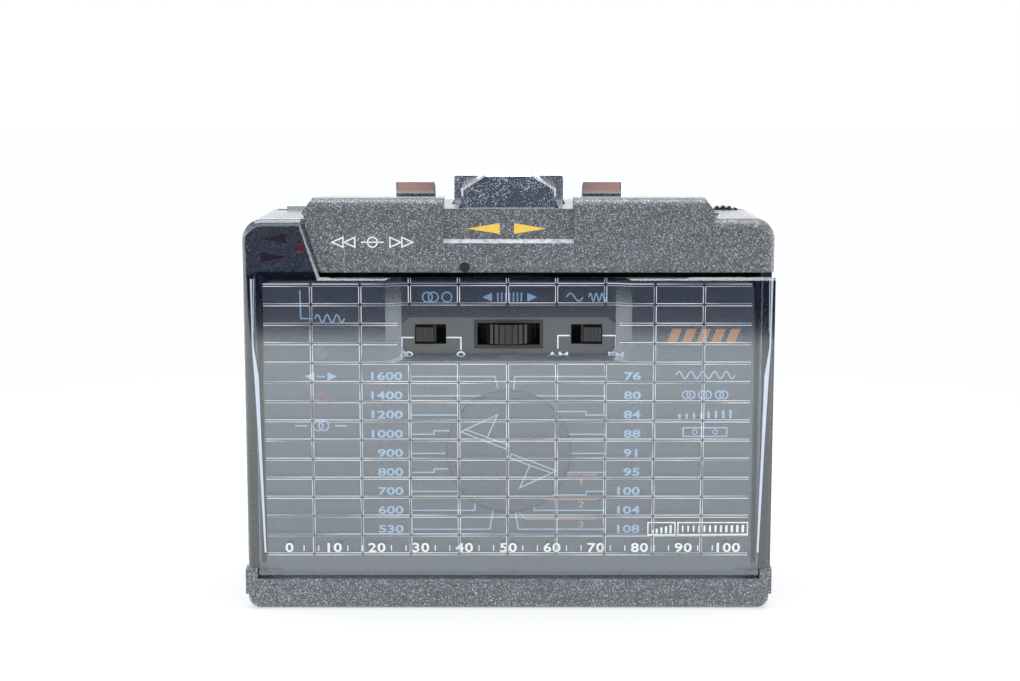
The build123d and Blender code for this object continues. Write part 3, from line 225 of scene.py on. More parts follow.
def ramp(tree, source, stops):
    """A colour ramp with (position, colour) stops."""
    node = tree.nodes.new("ShaderNodeValToRGB")
    elements = node.color_ramp.elements
    while len(elements) < len(stops):
        elements.new(0.5)
    for element, (position, colour) in zip(elements, stops):
        element.position = position
        element.color = (*colour, 1)
    tree.links.new(source, node.inputs["Fac"])
    return node.outputs["Color"]


def grain_bump(tree, shader, scale, strength, depth):
    """A fine moulded grain in the surface normal."""
    noise = new_node(tree, "ShaderNodeTexNoise", Scale=scale, Detail=2.0)
    tree.links.new(object_place(tree), noise.inputs["Vector"])
    bump = new_node(tree, "ShaderNodeBump", Strength=strength, Distance=depth)
    tree.links.new(noise.outputs["Fac"], bump.inputs["Height"])
    tree.links.new(bump.outputs[0], shader.inputs["Normal"])


def wear(node_names, material):
    """Gives CAD nodes a finish, each in its own material slots."""
    for name in node_names:
        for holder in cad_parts[name].material_slots:
            holder.material = material


flake_size = 0.16 * MM


def flake_lacquer(name):
    """The sprayed finish; returns it with its tree, its shader and its flake colour."""
    material, tree, shader = new_material(name)
    cells = new_node(tree, "ShaderNodeTexVoronoi", Scale=1 / flake_size, Randomness=1.0)
    tree.links.new(object_place(tree), cells.inputs["Vector"])
    parted = tree.nodes.new("ShaderNodeSeparateColor")
    tree.links.new(cells.outputs["Color"], parted.inputs[0])
    flakes = ramp(
        tree,
        parted.outputs[0],
        [
            (0.0, (0.050, 0.053, 0.062)),
            (0.5, (0.092, 0.098, 0.112)),
            (0.82, (0.170, 0.180, 0.202)),
            (0.97, (0.50, 0.52, 0.56)),
        ],
    )
    tree.links.new(flakes, shader.inputs["Base Color"])
    shader.inputs["Metallic"].default_value = 0.12
    shader.inputs["Roughness"].default_value = 0.37
    grain_bump(tree, shader, 1 / flake_size, 0.2, 0.03 * MM)
    return material, tree, shader, flakes


lacquer = flake_lacquer("flake_lacquer")[0]
wear(("rear_case", "battery_cover"), lacquer)

# Behind the door the front frame is much darker inside the well, and its corner panel is darker.
front_lacquer, tree, shader, flakes = flake_lacquer("flake_lacquer_front")
axes = tree.nodes.new("ShaderNodeSeparateXYZ")
tree.links.new(object_place(tree), axes.inputs[0])


def between(tree, value, low, high):
    """1 where a value lies between two limits in millimetres, else 0."""
    middle, reach = (low + high) / 2 * MM, (high - low) / 2 * MM
    node = new_node(tree, "ShaderNodeMath", {"operation": "COMPARE"})
    tree.links.new(value, node.inputs[0])
    node.inputs[1].default_value = middle
    node.inputs[2].default_value = reach
    return node.outputs[0]


def darkened(tree, colour, masks, share):
    """A colour times a share where every mask is 1."""
    total = masks[0]
    for mask in masks[1:]:
        both = new_node(tree, "ShaderNodeMath", {"operation": "MULTIPLY"})
        tree.links.new(total, both.inputs[0])
        tree.links.new(mask, both.inputs[1])
        total = both.outputs[0]
    mix = new_node(tree, "ShaderNodeMix", {"data_type": "RGBA", "blend_type": "MULTIPLY"})
    tree.links.new(total, mix.inputs["Factor"])
    tree.links.new(colour, mix.inputs["A"])
    mix.inputs["B"].default_value = (share, share, share, 1)
    return mix.outputs["Result"]


well_low, well_high = 6.3, 70.2
well_side = 54.1
inside = (
    between(tree, axes.outputs["X"], -well_side, well_side),
    between(tree, axes.outputs["Y"], -14.6, 5),
    between(tree, axes.outputs["Z"], well_low, well_high),
)
bare = darkened(tree, flakes, inside, 0.22)
panel = (
    between(tree, axes.outputs["X"], -54.3, -38),
    between(tree, axes.outputs["Y"], -14.5, -14),
    between(tree, axes.outputs["Z"], well_high, 80),
)
tree.links.new(darkened(tree, bare, panel, 0.5), shader.inputs["Base Color"])
wear(("front_frame",), front_lacquer)


# Printing on the bar
# Two yellow arrows stand on the set-back face between the halves of the ridge, and a white
# mark of two small triangles on a line stands on its left half, all screen printed.
def to_front(point, y):
    """A point (x, z) in millimetres on a plane that faces the front at y."""
    return Vector((point[0] * MM, y * MM, point[1] * MM))


def shape(sheet, points, y):
    """A filled outline, its points counter-clockwise as the front shows them."""
    sheet.faces.new([sheet.verts.new(to_front(point, y)) for point in points])


def path(sheet, points, width, y, closed=False):
    """A printed line through several points, mitred at its corners."""
    points = [Vector(point) for point in points]
    count = len(points)
    edges = []
    for index, point in enumerate(points):
        after = points[(index + 1) % count] - point
        before = point - points[index - 1]
        if not closed and index == 0:
            before = after
        if not closed and index == count - 1:
            after = before
        before, after = before.normalized(), after.normalized()
        middle = (before + after).normalized()
        reach = width / 2 / max(0.3, middle.dot(after))
        mitre = Vector((-middle.y, middle.x)) * reach
        edges.append((point - mitre, point + mitre))
    for index in range(count if closed else count - 1):
        near, far = edges[index], edges[(index + 1) % count]
        shape(sheet, (near[0], far[0], far[1], near[1]), y)


def line(sheet, start, end, width, y):
    """A straight printed line with square ends."""
    along = (Vector(end) - Vector(start)).normalized() * width / 2
    path(sheet, (Vector(start) - along, Vector(end) + along), width, y)


def circle_points(centre, radius, steps=40):
    """Points round a circle, counter-clockwise from the front."""
    turns = [2 * math.pi * step / steps for step in range(steps)]
    return [(centre[0] + radius * math.cos(a), centre[1] + radius * math.sin(a)) for a in turns]


def ring(sheet, centre, radius, width, y, steps=40):
    """A printed circle line."""
    outer = circle_points(centre, radius + width / 2, steps)
    inner = circle_points(centre, radius - width / 2, steps)
    for step in range(steps):
        after = (step + 1) % steps
        shape(sheet, (inner[step], outer[step], outer[after], inner[after]), y)


def triangle(sheet, tip_x, base_x, z, height, y):
    """A filled triangle that points left or right."""
    points = [(tip_x, z), (base_x, z - height / 2), (base_x, z + height / 2)]
    shape(sheet, points if base_x > tip_x else points[::-1], y)


def ink(name, colour, dull, roughness=0.45):
    """Printing ink, and also the paint of painted highlights and painted shade, a little uneven over
    its face.
    """
    material, tree, shader = new_material(name)
    noise = new_node(tree, "ShaderNodeTexNoise", Scale=900.0, Detail=3.0)
    tree.links.new(object_place(tree), noise.inputs["Vector"])
    tone = ramp(tree, noise.outputs["Fac"], [(0.35, dull), (0.6, colour)])
    tree.links.new(tone, shader.inputs["Base Color"])
    shader.inputs["Roughness"].default_value = roughness
    return material


def finished(name, sheet, material, body):
    """Turns a sheet of faces into a piece that rides on a body."""
    mesh = bpy.data.meshes.new(name)
    sheet.to_mesh(mesh)
    sheet.free()
    mesh.materials.append(material)
    piece = bpy.data.objects.new(name, mesh)
    bpy.context.scene.collection.objects.link(piece)
    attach(piece, body)
    return piece


print_lift = 0.02
ridge_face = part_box("front_frame")[0].y / MM
arrow_face = ridge_face + 1.0
arrow_z = 79.2
arrow_height = 2.2
yellow_ink = ink("yellow_ink", (0.92, 0.66, 0.11), (0.84, 0.56, 0.08))
sheet = bmesh.new()
triangle(sheet, -8.55, -1.8, arrow_z, arrow_height, arrow_face - print_lift)
triangle(sheet, 7.6, 1.1, arrow_z, arrow_height, arrow_face - print_lift)
finished("bar_arrows", sheet, yellow_ink, "player")

white_ink = ink("white_ink", (0.90, 0.93, 0.92), (0.78, 0.82, 0.82))
mark_left, mark_right = -35.7, -19.4
mark_z = 76.5
mark_height = 2.0
mark_line = 0.28
sheet = bmesh.new()
mark_y = ridge_face - print_lift
for side, end in ((1, mark_left), (-1, mark_right)):
    for offset in (0, 2.4):
        first = end + side * offset
        base = first + side * 2.2
        corners = [(first, mark_z), (base, mark_z - mark_height / 2), (base, mark_z + mark_height / 2)]
        path(sheet, corners, mark_line, mark_y, closed=True)
line(sheet, (mark_left + 6.0, mark_z), (mark_right - 6.0, mark_z), mark_line, mark_y)
ring(sheet, ((mark_left + mark_right) / 2, mark_z), mark_height / 2, mark_line, mark_y)
finished("bar_mark", sheet, white_ink, "player")

# Edges of the ridge and of the arrow face
# The ridge runs out to the bar in a narrow slope below and at its right, lacquered like the
# frame. A slope closes the foot of the arrow face, painted pale as a painted highlight. The
# pinhole's dark inside is painted shade: a black disc and a black wall.
def front_slope(name, near_points, near_y, far_points, far_y, material):
    """A sloping band between two lines that lie at different depths."""
    band = bmesh.new()
    near = [band.verts.new(to_front(point, near_y)) for point in near_points]
    far = [band.verts.new(to_front(point, far_y)) for point in far_points]
    for index in range(len(near) - 1):
        band.faces.new((near[index], near[index + 1], far[index + 1], far[index]))
    bmesh.ops.recalc_face_normals(band, faces=band.faces)
    return finished(name, band, material, "player")


bar_face = ridge_face + 0.7
ridge_run = 0.8
front_slope(
    "ridge_slope",
    [(-36.3, 72.1), (36.2, 72.1), (41.8, 82.4)],
    ridge_face,
    [(-36.9, 72.1 - ridge_run), (36.2 + 0.55 * ridge_run, 72.1 - ridge_run), (41.8 + ridge_run, 82.4)],
    bar_face,
    lacquer,
)
ledge_z = 76.3
notch_half = 13.2
slope_rise = 0.75
# The foot slope of the arrow face is a painted highlight: pale paint for its lit ledge.
front_slope(
    "arrow_slope",
    [(-notch_half, ledge_z), (notch_half, ledge_z)],
    ridge_face,
    [(-notch_half, ledge_z + slope_rise), (notch_half, ledge_z + slope_rise)],
    arrow_face,
    ink("painted_highlight_edge", (0.62, 0.65, 0.70), (0.36, 0.38, 0.42), 0.3),
)
# Painted shade: a black disc over the pinhole and a black wall down it stand for its dark inside.
pinhole = (-8.9, 71.4)
painted_shade_black = ink("painted_shade_black", (0.006, 0.006, 0.006), (0.003, 0.003, 0.003), 0.8)
pinhole_shade_radius = 1.04
sheet = bmesh.new()
shape(sheet, circle_points(pinhole, pinhole_shade_radius), ridge_face - print_lift)
rim = circle_points(pinhole, pinhole_shade_radius)
edge_front = [sheet.verts.new(to_front(point, ridge_face - print_lift)) for point in rim]
edge_back = [sheet.verts.new(to_front(point, bar_face)) for point in rim]
for index in range(len(edge_front)):
    sheet.faces.new((edge_front[index - 1], edge_back[index - 1], edge_back[index], edge_front[index]))
bmesh.ops.recalc_face_normals(sheet, faces=sheet.faces)
finished("pinhole_painted_shade", sheet, painted_shade_black, "player")


# Door lens
# One clear smoky acrylic moulding with a very fine haze. The eye's rays are refracted, and
# the rays that light what is behind it pass straight through a paler tint.
clear, tree, shader = new_material("smoke_acrylic")
shader.inputs["Base Color"].default_value = (0.50, 0.53, 0.60, 1)
shader.inputs["IOR"].default_value = 1.52
shader.inputs["Transmission Weight"].default_value = 1
shader.inputs["Roughness"].default_value = 0.07
shader.inputs["Specular Tint"].default_value = (0.84, 0.97, 1.0, 1)
shader.inputs["Coat Weight"].default_value = 0.6
shader.inputs["Coat IOR"].default_value = 1.6
shader.inputs["Coat Roughness"].default_value = 0.08
lit = tree.nodes.new("ShaderNodeBsdfTransparent")
lit.inputs["Color"].default_value = (0.90, 0.93, 1.0, 1)
path_kind = tree.nodes.new("ShaderNodeLightPath")
either = new_node(tree, "ShaderNodeMath", {"operation": "MAXIMUM"})
tree.links.new(path_kind.outputs["Is Shadow Ray"], either.inputs[0])
tree.links.new(path_kind.outputs["Is Diffuse Ray"], either.inputs[1])
blend = tree.nodes.new("ShaderNodeMixShader")
tree.links.new(either.outputs[0], blend.inputs[0])
tree.links.new(shader.outputs[0], blend.inputs[1])
tree.links.new(lit.outputs[0], blend.inputs[2])
tree.links.new(blend.outputs[0], tree.nodes["Material Output"].inputs["Surface"])
wear(("door_lens",), clear)


# Bright edges of the lens
# Pale strips inside the lens are painted highlights for the light that gathers in its rounded side
# walls.
# Two dark strips of painted shade, for the dark gap beside the pack, stand at the back edge
# of those walls, where they cut into the pack.
painted_highlight_white, tree, shader = new_material("painted_highlight_white")
shader.inputs["Base Color"].default_value = (0.88, 0.92, 0.98, 1)
shader.inputs["Roughness"].default_value = 0.3
lens_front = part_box("door_lens")[0].y / MM
streak_y = lens_front + 0.25
streak_shift = 0.6
streaks = (
    [(-53.1, 69.0), (-52.75, 69.0), (-52.6, 55.0), (-52.95, 55.0)],
    [(-52.5, 69.0), (-52.35, 69.0), (-52.45, 58.0), (-52.55, 58.0)],
    [(-52.95, 55.0), (-52.6, 55.0), (-51.7, 49.0), (-51.4, 35.0), (-52.0, 35.0), (-52.6, 49.0)],
    [(-52.0, 35.0), (-51.4, 35.0), (-50.8, 12.0), (-51.2, 12.0)],
)
sheet = bmesh.new()
for side in (1, -1):
    for points in streaks:
        mirrored = [(side * x + streak_shift, z) for x, z in points]
        shape(sheet, mirrored, streak_y)
bmesh.ops.recalc_face_normals(sheet, faces=sheet.faces)
finished("lens_painted_highlights", sheet, painted_highlight_white, "door")
# The dark strips are painted shade.
shade_black = ink("shade_black", (0.012, 0.013, 0.016), (0.008, 0.009, 0.011), 0.6)
shade = (
    [(-51.6, 69.0), (-50.5, 69.0), (-50.3, 49.0), (-50.1, 35.0), (-49.7, 12.0)]
    + [(-50.2, 12.0), (-50.8, 35.0), (-51.3, 49.0)]
)
shade_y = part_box("door_lens")[1].y / MM + 0.05
sheet = bmesh.new()
for side in (1, -1):
    mirrored = [(side * x + streak_shift / 2, z) for x, z in shade]
    shape(sheet, mirrored, shade_y)
bmesh.ops.recalc_face_normals(sheet, faces=sheet.faces)
finished("lens_shade", sheet, shade_black, "door")


# Grid on the door
# Fine paired white lines, painted highlights on the two edges of each moulded groove, divide
# the lens into cells of 10 by 4 mm. They break at every crossing, leave the control window
# free and follow the step of the recess above it.
def value_of(tree, operation, first, second=0.0):
    """A maths node of two fields or numbers."""
    node = tree.nodes.new("ShaderNodeMath")
    node.operation = operation
    for socket, value in zip(node.inputs, (first, second)):
        if isinstance(value, (int, float)):
            socket.default_value = value
        else:
            tree.links.new(value, socket)
    return node.outputs[0]


def grid_tree():
    """Strips in pairs on a lattice of points, cleared round a window."""
    tree = bpy.data.node_groups.new("paired_strips", "GeometryNodeTree")
    face = tree.interface
    for name, kind in (
        ("Columns", "NodeSocketInt"),
        ("Rows", "NodeSocketInt"),
        ("Width", "NodeSocketFloat"),
        ("Height", "NodeSocketFloat"),
        ("Strip Length", "NodeSocketFloat"),
        ("Strip Width", "NodeSocketFloat"),
        ("Pair Gap", "NodeSocketVector"),
        ("Turn", "NodeSocketFloat"),
        ("Centre", "NodeSocketVector"),
        ("Clear Half Width", "NodeSocketFloat"),
        ("Clear Low", "NodeSocketFloat"),
        ("Clear High", "NodeSocketFloat"),
        ("Stop Half Width", "NodeSocketFloat"),
        ("Top Row Half Width", "NodeSocketFloat"),
        ("Top Row Low", "NodeSocketFloat"),
        ("Top Limit", "NodeSocketFloat"),
        ("Recess Half Width", "NodeSocketFloat"),
        ("Recess Slope", "NodeSocketFloat"),
        ("Recess Depth", "NodeSocketFloat"),
        ("Finish", "NodeSocketMaterial"),
    ):
        face.new_socket(name=name, in_out="INPUT", socket_type=kind)
    face.new_socket(name="Geometry", in_out="OUTPUT", socket_type="NodeSocketGeometry")
    given = tree.nodes.new("NodeGroupInput").outputs
    leaving = tree.nodes.new("NodeGroupOutput")
    join = tree.links.new

    lattice = tree.nodes.new("GeometryNodeMeshGrid")
    join(given["Width"], lattice.inputs["Size X"])
    join(given["Height"], lattice.inputs["Size Y"])
    join(given["Columns"], lattice.inputs["Vertices X"])
    join(given["Rows"], lattice.inputs["Vertices Y"])
    place = tree.nodes.new("GeometryNodeTransform")
    place.inputs["Rotation"].default_value = (math.pi / 2, 0, 0)
    join(lattice.outputs["Mesh"], place.inputs["Geometry"])
    join(given["Centre"], place.inputs["Translation"])

    def where():
        parts = tree.nodes.new("ShaderNodeSeparateXYZ")
        join(tree.nodes.new("GeometryNodeInputPosition").outputs[0], parts.inputs[0])
        return value_of(tree, "ABSOLUTE", parts.outputs["X"]), parts

    away, parts = where()
    inside = value_of(tree, "LESS_THAN", away, given["Clear Half Width"])
    above = value_of(tree, "GREATER_THAN", parts.outputs["Z"], given["Clear Low"])
    below = value_of(tree, "LESS_THAN", parts.outputs["Z"], given["Clear High"])
    cleared = value_of(tree, "MULTIPLY", value_of(tree, "MULTIPLY", inside, above), below)
    outside = value_of(tree, "GREATER_THAN", away, given["Top Row Half Width"])
    high = value_of(tree, "GREATER_THAN", parts.outputs["Z"], given["Top Row Low"])
    dropped = value_of(tree, "MAXIMUM", cleared, value_of(tree, "MULTIPLY", outside, high))
    remove = tree.nodes.new("GeometryNodeDeleteGeometry")
    remove.domain = "POINT"
    join(place.outputs["Geometry"], remove.inputs["Geometry"])
    join(dropped, remove.inputs["Selection"])

    strip = tree.nodes.new("GeometryNodeMeshGrid")
    strip.inputs["Vertices X"].default_value = 14
    strip.inputs["Vertices Y"].default_value = 2
    join(given["Strip Length"], strip.inputs["Size X"])
    join(given["Strip Width"], strip.inputs["Size Y"])
    upright = tree.nodes.new("GeometryNodeTransform")
    turn = tree.nodes.new("ShaderNodeCombineXYZ")
    turn.inputs["X"].default_value = math.pi / 2
    join(value_of(tree, "MULTIPLY", given["Turn"], -1.0), turn.inputs["Y"])
    join(strip.outputs["Mesh"], upright.inputs["Geometry"])
    join(turn.outputs[0], upright.inputs["Rotation"])
    pair = tree.nodes.new("GeometryNodeJoinGeometry")
    for side in (-0.5, 0.5):
        offset = tree.nodes.new("ShaderNodeVectorMath")
        offset.operation = "SCALE"
        offset.inputs["Scale"].default_value = side
        join(given["Pair Gap"], offset.inputs[0])
        moved = tree.nodes.new("GeometryNodeTransform")
        join(upright.outputs["Geometry"], moved.inputs["Geometry"])
        join(offset.outputs[0], moved.inputs["Translation"])
        join(moved.outputs["Geometry"], pair.inputs[0])
    scatter = tree.nodes.new("GeometryNodeInstanceOnPoints")
    join(remove.outputs["Geometry"], scatter.inputs["Points"])
    join(pair.outputs["Geometry"], scatter.inputs["Instance"])
    solid = tree.nodes.new("GeometryNodeRealizeInstances")
    join(scatter.outputs["Instances"], solid.inputs["Geometry"])

    away, parts = where()
    inside = value_of(tree, "LESS_THAN", away, given["Stop Half Width"])
    above = value_of(tree, "GREATER_THAN", parts.outputs["Z"], given["Clear Low"])
    below = value_of(tree, "LESS_THAN", parts.outputs["Z"], given["Clear High"])
    stopped = value_of(tree, "MULTIPLY", value_of(tree, "MULTIPLY", inside, above), below)
    edge = value_of(
        tree, "MULTIPLY", value_of(tree, "SIGN", parts.outputs["X"]), given["Stop Half Width"]
    )
    keep = value_of(tree, "SUBTRACT", 1.0, stopped)
    new_x = value_of(
        tree,
        "ADD",
        value_of(tree, "MULTIPLY", parts.outputs["X"], keep),
        value_of(tree, "MULTIPLY", edge, stopped),
    )
    new_z = value_of(tree, "MINIMUM", parts.outputs["Z"], given["Top Limit"])
    reach = value_of(tree, "SUBTRACT", given["Recess Half Width"], away)
    sunk = tree.nodes.new("ShaderNodeClamp")
    join(value_of(tree, "DIVIDE", reach, given["Recess Slope"]), sunk.inputs["Value"])
    over = value_of(tree, "GREATER_THAN", parts.outputs["Z"], given["Clear High"])
    share_sunk = value_of(tree, "MULTIPLY", sunk.outputs[0], over)
    drop = value_of(tree, "MULTIPLY", share_sunk, given["Recess Depth"])
    new_y = value_of(tree, "ADD", parts.outputs["Y"], drop)
    spot = tree.nodes.new("ShaderNodeCombineXYZ")
    join(new_x, spot.inputs["X"])
    join(new_y, spot.inputs["Y"])
    join(new_z, spot.inputs["Z"])
    settle = tree.nodes.new("GeometryNodeSetPosition")
    join(solid.outputs["Geometry"], settle.inputs["Geometry"])
    join(spot.outputs[0], settle.inputs["Position"])
    dress = tree.nodes.new("GeometryNodeSetMaterial")
    join(settle.outputs["Geometry"], dress.inputs["Geometry"])
    join(given["Finish"], dress.inputs["Material"])
    join(dress.outputs["Geometry"], leaving.inputs["Geometry"])
    return tree


def grown(tree, values):
    """The plain mesh that a tree gives for some input values."""
    stand = bpy.data.objects.new("stand", bpy.data.meshes.new("stand"))
    bpy.context.scene.collection.objects.link(stand)
    growth = stand.modifiers.new("growth", "NODES")
    growth.node_group = tree
    for item in tree.interface.items_tree:
        if item.in_out == "INPUT":
            growth[item.identifier] = values[item.name]
    bpy.context.view_layer.update()
    ready = stand.evaluated_get(bpy.context.evaluated_depsgraph_get())
    mesh = bpy.data.meshes.new_from_object(ready)
    bpy.data.objects.remove(stand)
    return mesh


column_pitch, row_pitch = 10.0, 4.0
column_count, row_count = 10, 15
grid_shift = -0.22
top_line, foot_line = 67.77, 11.77
crossing_gap = 0.62
pair_gap = 0.46
strip_width = 0.125
lens_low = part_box("door_lens")[0]
lens_face = lens_low.y / MM - print_lift
recess_half_width, recess_slope, recess_depth = 25.1, 3.2, 1.3


def grid_highlight_paint(name, stretch):
    """Painted highlight on the edges of the grid's grooves, brighter on one strip than on the next."""
    material, tree, shader = new_material(name)
    spread = new_node(tree, "ShaderNodeMapping", Scale=stretch)
    tree.links.new(object_place(tree), spread.inputs["Vector"])
    noise = new_node(tree, "ShaderNodeTexNoise", Scale=1.0, Detail=2.0)
    tree.links.new(spread.outputs[0], noise.inputs["Vector"])
    tone = ramp(tree, noise.outputs["Fac"], [(0.42, (0.30, 0.32, 0.36)), (0.54, (0.97, 0.98, 1.0))])
    tree.links.new(tone, shader.inputs["Base Color"])
    shader.inputs["Roughness"].default_value = 0.4
    return material


# The white of the grid strips is painted highlight on the grooves' edges.
row_highlight_paint = grid_highlight_paint("grid_rows", (35.0, 1.0, 2600.0))
column_highlight_paint = grid_highlight_paint("grid_columns", (2600.0, 1.0, 90.0))
strips = grid_tree()
shared = {
    "Strip Width": strip_width * MM,
    "Clear Half Width": 20.9 * MM,
    "Clear Low": 51.9 * MM,
    "Clear High": 63.2 * MM,
    "Stop Half Width": 22.6 * MM,
    "Top Row Half Width": 20.9 * MM,
    "Top Row Low": 68.2 * MM,
    "Top Limit": 69.1 * MM,
    "Recess Half Width": recess_half_width * MM,
    "Recess Slope": recess_slope * MM,
    "Recess Depth": recess_depth * MM,
}
rows_high = (row_count - 1) * row_pitch
across = {
    "Columns": column_count,
    "Rows": row_count,
    "Width": (column_count - 1) * column_pitch * MM,
    "Height": rows_high * MM,
    "Strip Length": (column_pitch - crossing_gap) * MM,
    "Pair Gap": (0, 0, pair_gap * MM),
    "Turn": 0.0,
    "Centre": (grid_shift * MM, lens_face * MM, (top_line + foot_line) / 2 * MM),
}
upward = {
    "Columns": column_count - 1,
    "Rows": row_count,
    "Width": (column_count - 2) * column_pitch * MM,
    "Height": rows_high * MM,
    "Strip Length": (row_pitch - crossing_gap) * MM,
    "Pair Gap": (pair_gap * MM, 0, 0),
    "Turn": math.pi / 2,
    "Centre": (grid_shift * MM, lens_face * MM, (top_line + foot_line + row_pitch) / 2 * MM),
}
for name, finish, layout in (
    ("door_grid_rows", row_highlight_paint, across),
    ("door_grid_columns", column_highlight_paint, upward),
):
    sheet = bmesh.new()
    sheet.from_mesh(grown(strips, {**shared, **layout, "Finish": finish}))
    finished(name, sheet, finish, "door")


# Printing on the door
# White figures and ticks along the foot of the lens count the tape, and an outlined box of
# rising bars stands at the right.
def lettering(sheet, words, height, place, y, align="CENTER", stretch=1.3, weight=0.0, gap=1.1):
    """Figures laid on a front-facing plane, by their middle, left or right end."""
    curve = bpy.data.curves.new("figures", "FONT")
    curve.body = words
    curve.size = height / 0.72
    curve.align_x = align
    curve.align_y = "CENTER"
    curve.offset = weight
    curve.space_character = gap
    curve.resolution_u = 4
    writer = bpy.data.objects.new("figures", curve)
    bpy.context.scene.collection.objects.link(writer)
    bpy.context.view_layer.update()
    ready = writer.evaluated_get(bpy.context.evaluated_depsgraph_get())
    mesh = bpy.data.meshes.new_from_object(ready)
    bpy.data.objects.remove(writer)
    upright = Matrix(
        (
            (stretch * MM, 0, 0, place[0] * MM),
            (0, 0, -MM, y * MM),
            (0, MM, 0, place[1] * MM),
            (0, 0, 0, 1),
        )
    )
    mesh.transform(upright)
    sheet.from_mesh(mesh)


tape_left, tape_right = -45.4, 45.2
tape_low = 13.0
figure_height = 1.9
sheet = bmesh.new()
tape_marks = 10
for mark in range(tape_marks + 1):
    x = tape_left + (tape_right - tape_left) * mark / tape_marks
    lettering(sheet, str(10 * mark), figure_height, (x, tape_low), lens_face, weight=0.06)
    if mark < tape_marks:
        for part in (1, 2):
            tick = x + (tape_right - tape_left) * part / tape_marks / 3
            line(sheet, (tick, tape_low - 0.5), (tick, tape_low + 0.5), 0.2, lens_face)
box_left, box_right, box_low, box_high = 28.8, 49.4, 15.8, 18.4
for left, right in ((box_left, box_left + 5.6), (box_left + 6.2, box_right)):
    corners = [(left, box_low), (right, box_low), (right, box_high), (left, box_high)]
    path(sheet, corners, 0.25, lens_face, closed=True)
for bar in range(5):
    x = box_left + 0.9 + bar * 0.95
    line(sheet, (x, box_low + 0.55), (x, box_low + 0.8 + bar * 0.27), 0.45, lens_face)
for bar in range(12):
    x = box_left + 7.2 + bar * 1.13
    line(sheet, (x, box_low + 0.8), (x, box_high - 0.8), 0.3 + 0.02 * bar, lens_face)
finished("door_printing", sheet, white_ink, "door")


# Tuner pack
# Both halves are moulded in a dark grey-green satin plastic.
def moulded(name, colour, deep, roughness, scale=500.0, grain=2600.0, strength=0.12, metallic=0.0):
    """A plastic, rubber or metal finish: an uneven tone with a fine grain."""
    material, tree, shader = new_material(name)
    noise = new_node(tree, "ShaderNodeTexNoise", Scale=scale, Detail=3.0)
    tree.links.new(object_place(tree), noise.inputs["Vector"])
    tone = ramp(tree, noise.outputs["Fac"], [(0.3, deep), (0.7, colour)])
    tree.links.new(tone, shader.inputs["Base Color"])
    shader.inputs["Metallic"].default_value = metallic
    shader.inputs["Roughness"].default_value = roughness
    grain_bump(tree, shader, grain, strength, 0.02 * MM)
    return material


pack_satin = moulded("pack_satin", (0.108, 0.114, 0.115), (0.097, 0.103, 0.104), 0.42)
wear(("pack_front_case", "pack_rear_case"), pack_satin)

# Printing on the pack
# Pale blue figures and leader lines run from both sides to the dial, and small blue signs
# stand by the lights and switches. Three short scales are orange.
pack_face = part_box("pack_front_case")[0].y / MM - print_lift
blue_ink = ink("blue_ink", (0.66, 0.90, 1.0), (0.58, 0.84, 1.0))
scale_top, scale_step = 48.7, 4.02
figures_high = 1.6
leader_width = 0.27
left_figures_x, left_leader_x = -21.8, -20.0
right_figures_x, right_leader_x = 27.2, 20.15
left_scale = (
    ("1600", [(-2.8, 0), (-2.2, -2.5)]),
    ("1400", [(-5.7, 0)]),
    ("1200", [(-10.4, 0)]),
    ("1000", [(-15.4, 0), (-15.4, 0.72), (-12.1, 0.72)]),
    ("900", [(-12.9, 0)]),
    ("800", [(-15.4, 0), (-15.4, 0.74), (-12.3, 0.74)]),
    ("700", [(-10.5, 0)]),
    ("600", [(-7.0, 0), (-7.0, 1.5)]),
    ("530", [(-3.9, 0), (-3.2, 4.1)]),
)
right_scale = (
    ("76", [(1.3, 0), (1.0, -2.8)]),
    ("80", [(5.5, 0)]),
    ("84", [(15.9, 0), (15.9, 0.74), (9.6, 0.74)]),
    ("88", [(12.3, 0)]),
    ("91", [(12.7, 0)]),
    ("95", [(11.9, 0)]),
    ("100", [(16.1, 0), (16.1, -0.74), (8.8, -0.74)]),
    ("104", [(5.3, 0), (5.3, 0.75)]),
    ("108", [(2.0, 0), (1.4, 3.7)]),
)
sheet = bmesh.new()
for scale, figures_x, leader_x in (
    (left_scale, left_figures_x, left_leader_x),
    (right_scale, right_figures_x, right_leader_x),
):
    for row, (figures, leader) in enumerate(scale):
        z = scale_top - row * scale_step
        lettering(sheet, figures, figures_high, (figures_x, z), pack_face, "RIGHT", 1.55, 0.06, 1.03)
        points = [(leader_x, z)] + [(x, z + rise) for x, rise in leader]
        path(sheet, points, leader_width, pack_face)


def two_rings(sheet, x, z, radius, width, y, overlap=1.2):
    """Two crossing rings, the sign for two channels."""
    ring(sheet, (x - radius * overlap / 2, z), radius, width, y)
    ring(sheet, (x + radius * overlap / 2, z), radius, width, y)


def wave(sheet, left, right, z, height, turns, width, y):
    """A sine line, the sign for a radio wave."""
    steps = 12 * turns
    points = []
    for step in range(steps + 1):
        share = step / steps
        rise = height / 2 * math.sin(2 * math.pi * turns * share)
        points.append((left + (right - left) * share, z + rise))
    path(sheet, points, width, y)


